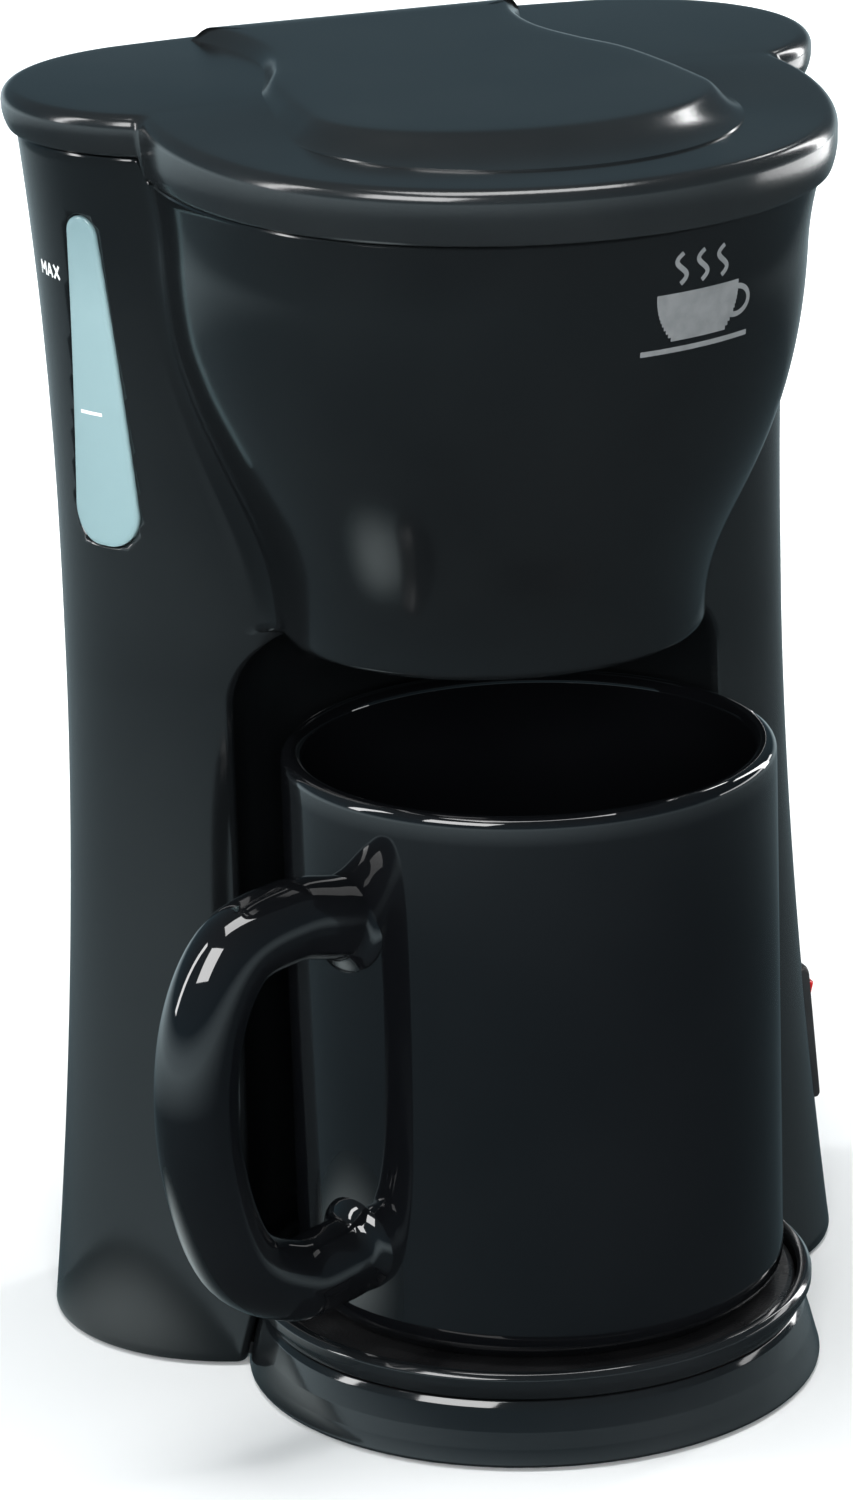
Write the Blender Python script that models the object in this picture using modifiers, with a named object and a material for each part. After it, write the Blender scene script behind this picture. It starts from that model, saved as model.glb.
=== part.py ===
"""Drip coffee maker for a single mug: a two-lobed tank column with a funnel over a mug niche.

Lengths are in millimetres until the last step of each shape, where MM turns them into metres.
Shapes are written about the brew axis, the upright line through the middle of the warming plate:
x = y = 0 on that axis, -Y is the front, and z = 0 is the surface that the rubber feet stand on.
"""
import bisect
import math

import bmesh
import bpy
from mathutils import Matrix, Vector

MM = 0.001

# Where the brew axis stands in the part's own frame, whose origin is below the middle of its box.
BREW_X = 1.25
BREW_Y = -15.85

# Column: two round lobes joined by a slightly bowed back.
LOBE_X = 38.0
LOBE_Y = 46.0
PLAN_Y = 36.0
LOBE_WAIST_R = 26.0
LOBE_FOOT_FLARE = 7.3
LOBE_FOOT_FLARE_TOP = 120.0
LOBE_HEAD_FLARE = 4.0
LOBE_HEAD_FLARE_FROM = 130.0
BACK_BOW_DEPTH = 287.5
WALL = 2.2
HOUSING_BOTTOM = 0.6
COLUMN_TOP = 211.3

# Funnel housing: an S-shaped cone whose centre moves back as it narrows.
CONE_BOTTOM_Z = 129.0
CONE_TOP_Z = 207.7
CONE_NECK_R = 35.7
CONE_TOP_R = 51.6
CONE_SHOULDER_Z = 195.0
CONE_SHOULDER_R = 49.8
CONE_LEAN = 0.7
CONE_BLEND = 11.0
FLOOR_TOP = 131.5
COVER_LEVEL = 6.0
STEP_Y = 8.0

# Niche that the mug stands in, and the round foot with its ring and plate.
NICHE_R = 48.0
NICHE_CORNER = 13.0
NICHE_FOOT_R = 49.7
NICHE_FOOT_TOP = 17.4
FOOT_R = 49.1
FOOT_TOP = 10.9
RING_R = 47.9
RING_INNER_R = 45.4
RING_TOP = 16.6
PLATE_R = 45.0
PLATE_TOP = 15.2

# Lid and its hinge.
LID_LOBE_R = 32.3
LID_FRONT_R = 55.2
LID_BOTTOM = 208.2
LID_TOP = 217.4
LID_STEP = 3.6
LID_RISE = 1.5
PLATEAU_TOP = 221.3
HINGE_Y = 83.7
HINGE_Z = 209.6
PIN_R = 1.5

# Mug, with its handle swung to the left.
MUG_X = 1.6
MUG_Y = -0.3
MUG_R = 41.5
MUG_BOTTOM = 15.5
MUG_TOP = 110.8
MUG_WALL = 3.8
HANDLE_ANGLE = math.radians(202.0)
HANDLE_R = 6.9

# Level window in the left lobe.
WINDOW_ANGLE = math.radians(210.0)
WINDOW_LOW = 143.2
WINDOW_HIGH = 200.8
WINDOW_LOW_W = 15.0
WINDOW_HIGH_W = 7.2

# Water path.
RISER_Y = 58.0
COLD_X = 24.0
HEATER_Z = 9.2
HEATER_R = 25.0
TUBE_R = 3.6
HOSE_R = 3.1
HOSE_Z = 6.2

# Rocker switch on the right lobe, leaning with the wall.
SWITCH_Z = 35.2
SWITCH_LEAN = math.radians(4.5)
ROCKER_REST = math.radians(8.0)

GAP = 0.3
FACETS = 36


# ---------------------------------------------------------------- scene and helpers

for leftover in list(bpy.data.objects):
    bpy.data.objects.remove(leftover, do_unlink=True)

parts = bpy.data.collections.new("drip_coffee_maker")
guides = bpy.data.collections.new("cutters")
for collection in (parts, guides):
    bpy.context.scene.collection.children.link(collection)


def empty(name, place, turn=(0.0, 0.0, 0.0), parent=None):
    """An empty that other pieces hang from."""
    axes = bpy.data.objects.new(name, None)
    parts.objects.link(axes)
    axes.location = Vector(place) * MM
    axes.rotation_euler = turn
    axes.parent = parent
    return axes


brew_axis = empty("brew_axis", (BREW_X, BREW_Y, 0.0))


def material(name, color, roughness, metallic=0.0, alpha=1.0):
    """A Principled material with one colour."""
    made = bpy.data.materials.new(name)
    made.use_nodes = True
    shader = made.node_tree.nodes["Principled BSDF"]
    shader.inputs["Base Color"].default_value = (*color, 1.0)
    shader.inputs["Roughness"].default_value = roughness
    shader.inputs["Metallic"].default_value = metallic
    shader.inputs["Alpha"].default_value = alpha
    made.diffuse_color = (*color, alpha)
    return made


def add(name, mesh, look=None, parent=brew_axis, place=(0.0, 0.0, 0.0), turn=(0.0, 0.0, 0.0)):
    """Link a mesh as a named part, or as a cutter when it has no look."""
    made = bpy.data.objects.new(name, mesh)
    made.parent = parent
    made.location = Vector(place) * MM
    made.rotation_euler = turn
    if look is None:
        guides.objects.link(made)
        made.hide_render = True
        made.display_type = "WIRE"
        return made
    parts.objects.link(made)
    mesh.materials.append(material(name, *look))
    return made


def mesh_from(name, shape, smooth=True):
    """Turn a bmesh in millimetres into a mesh in metres with outward faces."""
    bmesh.ops.recalc_face_normals(shape, faces=shape.faces)
    bmesh.ops.scale(shape, vec=(MM, MM, MM), verts=shape.verts)
    mesh = bpy.data.meshes.new(name)
    shape.to_mesh(mesh)
    shape.free()
    if smooth:
        mesh.shade_smooth()
        mesh.set_sharp_from_angle(angle=math.radians(35.0))
    return mesh


def loft(name, loops):
    """A closed skin through loops of equal count, with flat end caps."""
    shape = bmesh.new()
    rows = [[shape.verts.new(point) for point in loop] for loop in loops]
    for low, high in zip(rows, rows[1:]):
        for index, corner in enumerate(low):
            following = (index + 1) % len(low)
            shape.faces.new((corner, low[following], high[following], high[index]))
    shape.faces.new(list(reversed(rows[0])))
    shape.faces.new(rows[-1])
    return mesh_from(name, shape)


def box_mesh(name, low, high):
    """A box between two corners."""
    shape = bmesh.new()
    bmesh.ops.create_cube(shape, size=1.0)
    low, high = Vector(low), Vector(high)
    bmesh.ops.scale(shape, vec=high - low, verts=shape.verts)
    bmesh.ops.translate(shape, vec=(low + high) / 2.0, verts=shape.verts)
    return mesh_from(name, shape, smooth=False)


def rod_mesh(name, radius, start, end, facets=12):
    """A cylinder from one point to another."""
    start, end = Vector(start), Vector(end)
    shape = bmesh.new()
    bmesh.ops.create_cone(shape, cap_ends=True, segments=facets, radius1=radius, radius2=radius,
                          depth=(end - start).length)
    turn = Vector((0.0, 0.0, 1.0)).rotation_difference(end - start).to_matrix().to_4x4()
    bmesh.ops.transform(shape, matrix=Matrix.Translation((start + end) / 2.0) @ turn, verts=shape.verts)
    return mesh_from(name, shape)


def turned(name, profile, look=None, facets=FACETS, closed=True, **where):
    """Spin a profile of (radius, height) points, listed down its outer side, about Z."""
    mesh = bpy.data.meshes.new(name)
    corners = [(radius * MM, 0.0, height * MM) for radius, height in profile]
    edges = [(index, index + 1) for index in range(len(corners) - 1)]
    if closed:
        edges.append((len(corners) - 1, 0))
    mesh.from_pydata(corners, edges, [])
    made = add(name, mesh, look, **where)
    screw = made.modifiers.new("turn", "SCREW")
    screw.steps = screw.render_steps = facets
    screw.use_merge_vertices = True
    screw.merge_threshold = 0.00005
    screw.use_normal_calculate = False
    screw.use_smooth_shade = False
    return made


def boolean(target, tool, operation="DIFFERENCE"):
    """Join a solid to a part, or cut it away, with an exact Boolean."""
    step = target.modifiers.new(operation.lower(), "BOOLEAN")
    step.operation = operation
    step.solver = "EXACT"
    step.object = tool
    return target


def solid_curve(name, points, radius, look=None, resolution=2, **where):
    """A round wire, tube or hose through points, as a mesh with welded caps."""
    path = bpy.data.curves.new(name, "CURVE")
    path.dimensions = "3D"
    path.bevel_depth = radius * MM
    path.bevel_resolution = resolution
    path.use_fill_caps = True
    spline = path.splines.new("POLY")
    spline.points.add(len(points) - 1)
    for corner, point in zip(spline.points, points):
        corner.co = (*(Vector(point) * MM), 1.0)
    guide = bpy.data.objects.new(name + "_path", path)
    guides.objects.link(guide)
    bpy.context.view_layer.update()
    reading = guide.evaluated_get(bpy.context.evaluated_depsgraph_get())
    mesh = bpy.data.meshes.new_from_object(reading)
    bpy.data.objects.remove(guide, do_unlink=True)
    mesh.name = name
    mesh.materials.clear()
    shape = bmesh.new()
    shape.from_mesh(mesh)
    bmesh.ops.remove_doubles(shape, verts=shape.verts, dist=0.00001)
    bmesh.ops.recalc_face_normals(shape, faces=shape.faces)
    shape.to_mesh(mesh)
    shape.free()
    return add(name, mesh, look, **where)


def smooth_path(points, per_span=5):
    """Points on a Catmull-Rom curve through the given points."""
    ends = [Vector(points[0]) * 2.0 - Vector(points[1])]
    ends += [Vector(point) for point in points]
    ends.append(Vector(points[-1]) * 2.0 - Vector(points[-2]))
    found = []
    for before, start, end, after in zip(ends, ends[1:], ends[2:], ends[3:]):
        for step in range(per_span):
            t = step / per_span
            found.append(0.5 * (2.0 * start + (end - before) * t
                                + (2.0 * before - 5.0 * start + 4.0 * end - after) * t * t
                                + (3.0 * start - before - 3.0 * end + after) * t ** 3))
    found.append(ends[-2])
    return found


# ---------------------------------------------------------------- plan outlines

def lobe_radius(z):
    """Radius of the lobes: flared at the foot, waisted, and flared again under the lid."""
    if z < LOBE_FOOT_FLARE_TOP:
        share = (LOBE_FOOT_FLARE_TOP - max(z, 0.0)) / LOBE_FOOT_FLARE_TOP
        return LOBE_WAIST_R + LOBE_FOOT_FLARE * share ** 1.8
    share = max(0.0, z - LOBE_HEAD_FLARE_FROM) / (212.0 - LOBE_HEAD_FLARE_FROM)
    return LOBE_WAIST_R + LOBE_HEAD_FLARE * share ** 2.2


def cone_radius(z):
    """Radius of the funnel: a Bezier S from the neck to the shoulder, then a slight taper."""
    if z >= CONE_SHOULDER_Z:
        share = (z - CONE_SHOULDER_Z) / (CONE_TOP_Z - CONE_SHOULDER_Z)
        return CONE_SHOULDER_R + (CONE_TOP_R - CONE_SHOULDER_R) * share
    low, high = 0.0, 1.0
    for _ in range(40):
        t = (low + high) / 2.0
        if bezier((CONE_BOTTOM_Z, 150.0, 158.0, CONE_SHOULDER_Z), t) < z:
            low = t
        else:
            high = t
    return bezier((CONE_NECK_R, CONE_NECK_R, 48.0, CONE_SHOULDER_R), t)


def bezier(values, t):
    """A cubic Bezier through its four control values."""
    a, b, c, d = values
    s = 1.0 - t
    return s ** 3 * a + 3.0 * s * s * t * b + 3.0 * s * t * t * c + t ** 3 * d


def cone_centre(z):
    """How far behind the brew axis the funnel's centre lies."""
    return CONE_LEAN * (52.0 - cone_radius(z))


def column_reach(angle, radius):
    """Distance from (0, PLAN_Y) to the column's outline, for lobes of a given radius."""
    across, along = math.cos(angle), math.sin(angle)
    if along < 0.0:
        front = (LOBE_Y - radius - PLAN_Y) / along
        if abs(front * across) <= LOBE_X:
            return front
    else:
        bow = circle_reach(angle, math.hypot(LOBE_X, BACK_BOW_DEPTH) + radius, 0.0, LOBE_Y - BACK_BOW_DEPTH)
        if bow * abs(across) <= LOBE_X + radius * math.cos(math.atan2(BACK_BOW_DEPTH, LOBE_X)):
            return bow
    return circle_reach(angle, radius, math.copysign(LOBE_X, across), LOBE_Y)


def circle_reach(angle, radius, centre_x, centre_y):
    """Distance from (0, PLAN_Y) to the far side of a circle, or nothing where it is missed."""
    depth = centre_y - PLAN_Y
    along = centre_x * math.cos(angle) + depth * math.sin(angle)
    inside = radius ** 2 - (centre_x ** 2 + depth ** 2 - along ** 2)
    return along + math.sqrt(inside) if inside > 0.0 else 0.0


def blend_reach(first, second, width):
    """The longer of two reaches, with a soft fillet where they cross."""
    near = max(width - abs(first - second), 0.0) / width
    return max(first, second) + near * near * width / 4.0


def outline_angles(count):
    """Angles about (0, PLAN_Y) that are evenly spread along the outlines of the column and the lid."""
    fine = [math.tau * (step + 0.5) / 1440 - math.pi / 2.0 for step in range(1441)]
    lengths = [0.0]
    for before, after in zip(fine, fine[1:]):
        middle = (before + after) / 2.0
        reach = column_reach(middle, LOBE_WAIST_R) + circle_reach(middle, LID_FRONT_R, 0.0, 0.0)
        lengths.append(lengths[-1] + reach * (after - before))
    return [fine[bisect.bisect_left(lengths, lengths[-1] * (step + 0.5) / count)] for step in range(count)]


def column_loop(z, inset):
    """Outline of the two lobes and the bowed back at one height."""
    radius = lobe_radius(z) - inset
    return [place_on_plan(angle, column_reach(angle, radius), z) for angle in ANGLES]


def head_loop(z, inset):
    """Outline of the column and the funnel, filleted into each other, at one height."""
    loop = []
    for angle in ANGLES:
        column = column_reach(angle, lobe_radius(z) - inset)
        cone = circle_reach(angle, cone_radius(z) - inset, 0.0, cone_centre(z))
        loop.append(place_on_plan(angle, blend_reach(column, cone, CONE_BLEND), z))
    return loop


def place_on_plan(angle, reach, z):
    """A point at a reach and angle about the plan's centre."""
    return (reach * math.cos(angle), PLAN_Y + reach * math.sin(angle), z)


ANGLES = outline_angles(56)


def heights(low, high, count):
    """Evenly spaced heights from low to high."""
    return [low + (high - low) * step / (count - 1) for step in range(count)]


def disc_profile(radius, low, high):
    """Profile of a plain round solid from the axis out and back."""
    return [(0.0, high), (radius, high), (radius, low), (0.0, low)]


# ---------------------------------------------------------------- housings

GLOSS_BLACK = ((0.012, 0.013, 0.014), 0.12)


def niche_profile(extra, foot_extra, top, corner):
    """Profile of the round space for the mug, with a quarter-round at its ceiling."""
    radius = NICHE_R + extra
    arc = [math.pi / 2.0 * step / 5 for step in range(6)]
    shoulder = [(radius - corner + corner * math.sin(turn), top - corner + corner * math.cos(turn))
                for turn in arc]
    foot_top = NICHE_FOOT_TOP + foot_extra
    return [(0.0, top), *shoulder, (radius, foot_top), (NICHE_FOOT_R + foot_extra, foot_top),
            (NICHE_FOOT_R + foot_extra, -5.0), (0.0, -5.0)]


def make_main_housing():
    """Column and funnel in one moulding, hollow, with the mug niche cut into its front."""
    lower = [column_loop(z, 0.0) for z in heights(HOUSING_BOTTOM, CONE_BOTTOM_Z, 7)]
    lower.append(column_loop(CONE_BOTTOM_Z + 1.2, 1.1))
    housing = add("main_housing", loft("main_housing", lower), GLOSS_BLACK)
    upper = [head_loop(z, 0.0) for z in heights(CONE_BOTTOM_Z, COLUMN_TOP, 8)]
    boolean(housing, add("funnel_outside", loft("funnel_outside", upper)), "UNION")

    inside = [column_loop(z, WALL) for z in heights(HOUSING_BOTTOM - 4.0, FLOOR_TOP - 4.0, 5)]
    inside.append(column_loop(FLOOR_TOP + 1.4, WALL + 0.6))
    column_inside = add("column_inside", loft("column_inside", inside))
    wall_block = turned("niche_wall", niche_profile(WALL, 2.0, FLOOR_TOP, NICHE_CORNER + 1.0), closed=False)
    boolean(column_inside, wall_block)
    head_inside = [head_loop(z, WALL) for z in heights(FLOOR_TOP, COLUMN_TOP + 2.0, 6)]
    boolean(housing, column_inside)
    boolean(housing, add("head_inside", loft("head_inside", head_inside)))
    step = box_mesh("front_step", (-80.0, -80.0, CONE_TOP_Z), (80.0, STEP_Y, COLUMN_TOP + 9.0))
    boolean(housing, add("front_step", step))
    boolean(housing, turned("niche", niche_profile(0.0, 0.0, CONE_BOTTOM_Z, NICHE_CORNER), closed=False))

    for side in (-1.0, 1.0):
        boss_at = (side * LOBE_X, 72.3)
        boss = rod_mesh("boss", 4.6, (*boss_at, 3.6), (*boss_at, 15.0))
        boolean(housing, add("rear_boss", boss), "UNION")
        pilot = rod_mesh("pilot", 1.7, (*boss_at, 0.0), (*boss_at, 13.0))
        boolean(housing, add("rear_pilot", pilot))
    lug = box_mesh("lug", (-6.2, 76.3, 197.0), (6.2, HINGE_Y, HINGE_Z - 0.4))
    boolean(housing, add("housing_lug", lug), "UNION")
    knuckle = rod_mesh("knuckle", 3.2, (-6.5, HINGE_Y, HINGE_Z), (6.5, HINGE_Y, HINGE_Z))
    boolean(housing, add("housing_knuckle", knuckle), "UNION")
    boolean(housing, add("housing_pin_hole", pin_hole_mesh()))

    boolean(housing, add("nozzle_hole", rod_mesh("nozzle_hole", 5.3, (0.0, 4.0, 120.0), (0.0, 4.0, 140.0))))
    boolean(housing, add("hose_way", box_mesh("hose_way", (-26.0, 30.0, -2.0), (26.0, 58.0, 11.8))))
    boolean(housing, add("gland_hole", rod_mesh("gland_hole", 5.4, (-20.0, 70.0, 17.0), (-20.0, 90.0, 17.0))))
    boolean(housing, add("housing_cover_seat", cover_seat()))
    boolean(housing, add("window_cut", window_prism(0.0)))
    seat = box_mesh("switch_cut", (-12.0, -7.8, -13.05), (8.0, 7.8, 13.05))
    boolean(housing, add("switch_cut", seat, parent=switch_seat))
    return housing


def pin_hole_mesh():
    """The hole that the hinge pin lies in."""
    return rod_mesh("pin_hole", PIN_R + GAP, (-30.0, HINGE_Y, HINGE_Z), (30.0, HINGE_Y, HINGE_Z))


def cover_seat():
    """The space inside the column's walls that the base cover slides into."""
    outline = column_loop(COVER_LEVEL, WALL + 0.2)
    return loft("cover_seat", [[(x, y, z) for x, y, _ in outline] for z in (-2.0, HOUSING_BOTTOM + 2.5)])


def make_foot():
    """Round foot under the warming plate, with two screw bosses and a way through for the hoses."""
    outer = [(45.2, FOOT_TOP + 0.6), (46.0, FOOT_TOP), (46.7, FOOT_TOP - 1.1), (47.6, 6.6), (48.5, 3.4),
             (FOOT_R, HOUSING_BOTTOM + 0.6), (FOOT_R - 0.4, HOUSING_BOTTOM)]
    inner = [(FOOT_R - WALL, HOUSING_BOTTOM), (46.2, 3.6), (45.3, 6.6), (44.0, 8.8), (41.6, 9.0),
             (41.6, FOOT_TOP + 0.6)]
    foot = turned("foot_housing", outer + inner, GLOSS_BLACK)
    for side in (-1.0, 1.0):
        spot = (side * 30.6, -30.6)
        boolean(foot, add("front_boss", rod_mesh("front_boss", 4.4, (*spot, 3.6), (*spot, 9.9))), "UNION")
        boolean(foot, add("front_pilot", rod_mesh("front_pilot", 1.7, (*spot, 0.0), (*spot, 9.0))))
    boolean(foot, add("foot_way", box_mesh("foot_way", (-25.7, 30.0, -2.0), (25.7, 60.0, 10.2))))
    boolean(foot, add("foot_cover_seat", cover_seat()))
    return foot


def make_plate_ring():
    """Bright ring that holds the warming plate down on the foot."""
    low = FOOT_TOP + 0.9
    outer = [(RING_INNER_R, RING_TOP - 0.6), (RING_INNER_R + 0.6, RING_TOP), (RING_R - 0.7, RING_TOP),
             (RING_R, RING_TOP - 0.7), (RING_R - 0.1, RING_TOP - 2.0), (46.9, low + 0.9), (46.3, low)]
    return turned("plate_ring", outer + [(RING_INNER_R, low)], ((0.02, 0.021, 0.022), 0.14))


def make_warming_plate():
    """Pressed steel plate, dished a little, with a turned-down rim."""
    top = [(0.0, PLATE_TOP), (PLATE_R - 1.0, PLATE_TOP), (PLATE_R, PLATE_TOP - 0.8), (PLATE_R, 12.9)]
    under = [(PLATE_R - 1.1, 12.9), (PLATE_R - 1.1, PLATE_TOP - 1.2), (0.0, PLATE_TOP - 1.2)]
    return turned("warming_plate", top + under, ((0.02, 0.02, 0.02), 0.35, 0.6), closed=False)


def make_plate_gasket():
    """Silicone ring under the plate, inside its rim."""
    return turned("plate_gasket", [(43.4, 13.6), (43.4, 12.7), (41.9, 12.7), (41.9, 13.6)],
                  ((0.35, 0.10, 0.07), 0.55))


FEET = [(-50.0, 50.0), (50.0, 50.0), (-12.0, -36.0), (12.0, -36.0)]
SCREWS = [(-LOBE_X, 72.3), (LOBE_X, 72.3), (-30.6, -30.6), (30.6, -30.6)]


def make_base_cover():
    """Flat cover under the column and the foot, recessed for feet and screws."""
    low, high = HOUSING_BOTTOM + 0.2, HOUSING_BOTTOM + 2.2
    outline = [column_loop(COVER_LEVEL, WALL + 0.5)]
    loops = [[(x, y, z) for x, y, _ in outline[0]] for z in (low, high)]
    cover = add("base_cover", loft("base_cover", loops), ((0.03, 0.03, 0.032), 0.5))
    disc = turned("cover_disc", disc_profile(FOOT_R - WALL - 1.1, low + 0.05, high - 0.05), closed=False)
    boolean(cover, disc, "UNION")
    for x, y in FEET:
        boolean(cover, add("foot_recess", rod_mesh("foot_recess", 6.3, (x, y, 0.0), (x, y, low + 1.1))))
    for x, y in SCREWS:
        boolean(cover, add("head_recess", rod_mesh("head_recess", 3.1, (x, y, 0.0), (x, y, low + 0.9))))
        boolean(cover, add("screw_hole", rod_mesh("screw_hole", 1.7, (x, y, 0.0), (x, y, 5.0))))
    return cover


def make_feet_and_screws():
    """Four rubber feet and the four screws of the base cover."""
    for number, (x, y) in enumerate(FEET, 1):
        foot = [(0.0, 1.6), (6.0, 1.6), (6.0, 0.5), (5.5, 0.0), (0.0, 0.0)]
        turned(f"rubber_foot_{number}", foot, ((0.05, 0.05, 0.05), 0.8), 16, False, place=(x, y, 0.0))
    for number, (x, y) in enumerate(SCREWS, 1):
        top = 12.5 if number < 3 else 8.5
        screw = [(0.0, top), (1.4, top), (1.4, 1.4), (2.8, 1.4), (2.8, 0.7), (0.0, 0.7)]
        turned(f"base_screw_{number}", screw, ((0.6, 0.6, 0.58), 0.35, 1.0), 16, False, place=(x, y, 0.0))


# ---------------------------------------------------------------- lid

def lid_loop(z, inset):
    """Outline of the lid: lobes at the back and a round front, meeting in a notch, rising to the back."""
    loop = []
    for angle in ANGLES:
        lobes = column_reach(angle, LID_LOBE_R - inset)
        reach = blend_reach(lobes, circle_reach(angle, LID_FRONT_R - inset, 0.0, 0.0), 2.5)
        x, y, _ = place_on_plan(angle, reach, z)
        rise = min(max((y + 45.0) / 65.0, 0.0), 1.0) * (z - LID_BOTTOM) / (LID_TOP - LID_BOTTOM)
        loop.append((x, y, z + LID_RISE * rise))
    return loop


def make_lid():
    """Lid: a hollow cover with a rounded rim, a raised plateau and a finger recess at its front."""
    rim = [(LID_BOTTOM, 1.9), (LID_BOTTOM + 1.8, 0.5), (LID_BOTTOM + 4.2, 0.0), (LID_TOP - 2.2, 0.5),
           (LID_TOP - 0.8, 1.6), (LID_TOP, 3.8)]
    lid = add("lid", loft("lid", [lid_loop(z, inset) for z, inset in rim]), GLOSS_BLACK)
    step = box_mesh("lid_step", (-80.0, STEP_Y - 0.4, LID_BOTTOM - 5.0), (80.0, 90.0, LID_BOTTOM + LID_STEP))
    boolean(lid, add("lid_step", step))
    boolean(lid, plateau(), "UNION")
    hollow = [(LID_BOTTOM - 2.0, 4.4), (LID_TOP - 2.0, 4.4)]
    cavity = add("lid_cavity", loft("lid_cavity", [lid_loop(z, inset) for z, inset in hollow]))
    boolean(lid, cavity)
    for side in (-1.0, 1.0):
        near, far = side * 7.0, side * 17.0
        low_x, high_x = min(near, far), max(near, far)
        web = box_mesh("web", (low_x + 0.3, 79.2, HINGE_Z - 0.2), (high_x - 0.3, HINGE_Y, HINGE_Z + 3.4))
        boolean(lid, add("lid_web", web), "UNION")
        knuckle = rod_mesh("knuckle", 3.2, (near, HINGE_Y, HINGE_Z), (far, HINGE_Y, HINGE_Z))
        boolean(lid, add("lid_knuckle", knuckle), "UNION")
    boolean(lid, add("lid_pin_hole", pin_hole_mesh()))
    pivot = (0.0, HINGE_Y, HINGE_Z)
    lid.parent = empty("lid_axis", pivot, parent=brew_axis)
    lid.data.transform(Matrix.Translation(-Vector(pivot) * MM))
    return lid


def plateau():
    """Raised tongue from the back edge to its rounded front end."""
    def outline(z, inset, front_inset):
        arc = [math.pi * step / 14 for step in range(15)]
        front = [((37.0 - inset) * math.cos(turn), -4.0 - (38.0 - front_inset) * math.sin(turn), z)
                 for turn in arc]
        side = [(36.5, 18.0), (31.0, 34.0), (28.0, 48.0), (28.5, 62.0), (31.5, 76.0)]
        left = [(inset - x, min(y, 76.0 - inset), z) for x, y in side]
        right = [(x - inset, min(y, 76.0 - inset), z) for x, y in reversed(side)]
        return front + left + right
    loops = [outline(LID_TOP - 1.5, 0.0, 0.0), outline(LID_TOP + 1.4, 0.6, 1.5),
             outline(PLATEAU_TOP - 0.7, 2.0, 4.6), outline(PLATEAU_TOP, 3.6, 6.6)]
    return add("plateau", loft("plateau", loops))


def make_hinge_pin():
    """Steel pin through the knuckles at the back."""
    pin = rod_mesh("lid_hinge_pin", PIN_R, (-17.8, HINGE_Y, HINGE_Z), (17.8, HINGE_Y, HINGE_Z))
    return add("lid_hinge_pin", pin, ((0.6, 0.6, 0.6), 0.3, 1.0))


# ---------------------------------------------------------------- tank and window

def window_prism(inset):
    """A tapered bar with round corners, standing across the left lobe's wall."""
    low_r, high_r = WINDOW_LOW_W / 2.0 - 1.0, WINDOW_HIGH_W / 2.0
    corners = []
    for centre_z, radius, start in ((WINDOW_LOW + low_r, low_r, math.pi), (WINDOW_HIGH - high_r, high_r, 0.0)):
        spread = WINDOW_LOW_W / 2.0 - low_r if start else 0.0
        for step in range(9):
            turn = start + math.pi * step / 8
            side = spread * (1.0 if math.cos(turn) > 0.0 else -1.0)
            corners.append((side + (radius - inset) * math.cos(turn),
                            centre_z + (radius - inset) * math.sin(turn)))
    out = Vector((math.cos(WINDOW_ANGLE), math.sin(WINDOW_ANGLE), 0.0))
    across = Vector((-out.y, out.x, 0.0))
    axis = Vector((-LOBE_X, LOBE_Y, 0.0))
    loops = []
    for distance in (LOBE_WAIST_R - 8.0, LOBE_WAIST_R + 8.0):
        loops.append([axis + out * distance + across * u + Vector((0.0, 0.0, z)) for u, z in corners])
    return loft("window_prism", loops)


def lobe_shell(name, outside, inside):
    """A turned tube that follows the left lobe, between two offsets from its surface."""
    levels = heights(WINDOW_LOW - 4.0, WINDOW_HIGH + 4.0, 7)
    outer = [(lobe_radius(z) + outside, z) for z in reversed(levels)]
    inner = [(lobe_radius(z) + inside, z) for z in levels]
    return turned(name, outer + inner, facets=60, place=(-LOBE_X, LOBE_Y, 0.0))


def make_window():
    """Clear level window, standing a little proud of the wall, and the gasket frame behind it."""
    window = add("level_window", window_prism(GAP), ((0.62, 0.70, 0.72), 0.18, 0.0, 0.6))
    boolean(window, lobe_shell("window_skin", 0.35, -WALL + 0.2), "INTERSECT")
    gasket = add("window_gasket", window_prism(-1.4), ((0.08, 0.08, 0.08), 0.7))
    boolean(gasket, lobe_shell("gasket_skin", -WALL - GAP, -WALL - 1.3), "INTERSECT")
    boolean(gasket, add("gasket_gap", window_prism(1.2)))
    return window


def make_tank():
    """Open-topped tank that fills the upper column behind the filter chamber, with its outlet spigot."""
    floor, top, clearance, wall = 134.0, 203.0, WALL + 1.5, 1.8
    outside = [column_loop(z, clearance) for z in heights(floor, top, 4)]
    tank = add("water_tank", loft("water_tank", outside), ((0.55, 0.58, 0.60), 0.3, 0.0, 0.7))
    front = rod_mesh("tank_front", 48.4, (0.0, 0.0, floor - 4.0), (0.0, 0.0, top + 4.0), FACETS)
    boolean(tank, add("tank_front", front))
    notch = box_mesh("riser_notch", (-5.5, 30.0, floor - 4.0), (5.5, 63.0, top + 4.0))
    boolean(tank, add("riser_notch", notch))
    inside = [column_loop(z, clearance + wall) for z in heights(floor + wall, top + 3.0, 4)]
    water = add("tank_inside", loft("tank_inside", inside))
    face = rod_mesh("tank_face", 48.4 + wall, (0.0, 0.0, floor - 4.0), (0.0, 0.0, top + 6.0), FACETS)
    boolean(water, add("tank_face", face))
    way = box_mesh("riser_way", (-5.5 - wall, 20.0, floor - 4.0), (5.5 + wall, 63.0 + wall, top + 6.0))
    boolean(water, add("riser_way", way))
    boolean(tank, water)
    spigot = rod_mesh("spigot", 3.4, (COLD_X, RISER_Y, 124.0), (COLD_X, RISER_Y, floor + 1.0))
    boolean(tank, add("spigot", spigot), "UNION")
    drain = rod_mesh("drain", 2.1, (COLD_X, RISER_Y, 120.0), (COLD_X, RISER_Y, floor + 5.0))
    boolean(tank, add("drain", drain))
    boolean(tank, add("tank_window", window_prism(0.6)))
    return tank


# ---------------------------------------------------------------- filter and outlet

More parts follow.
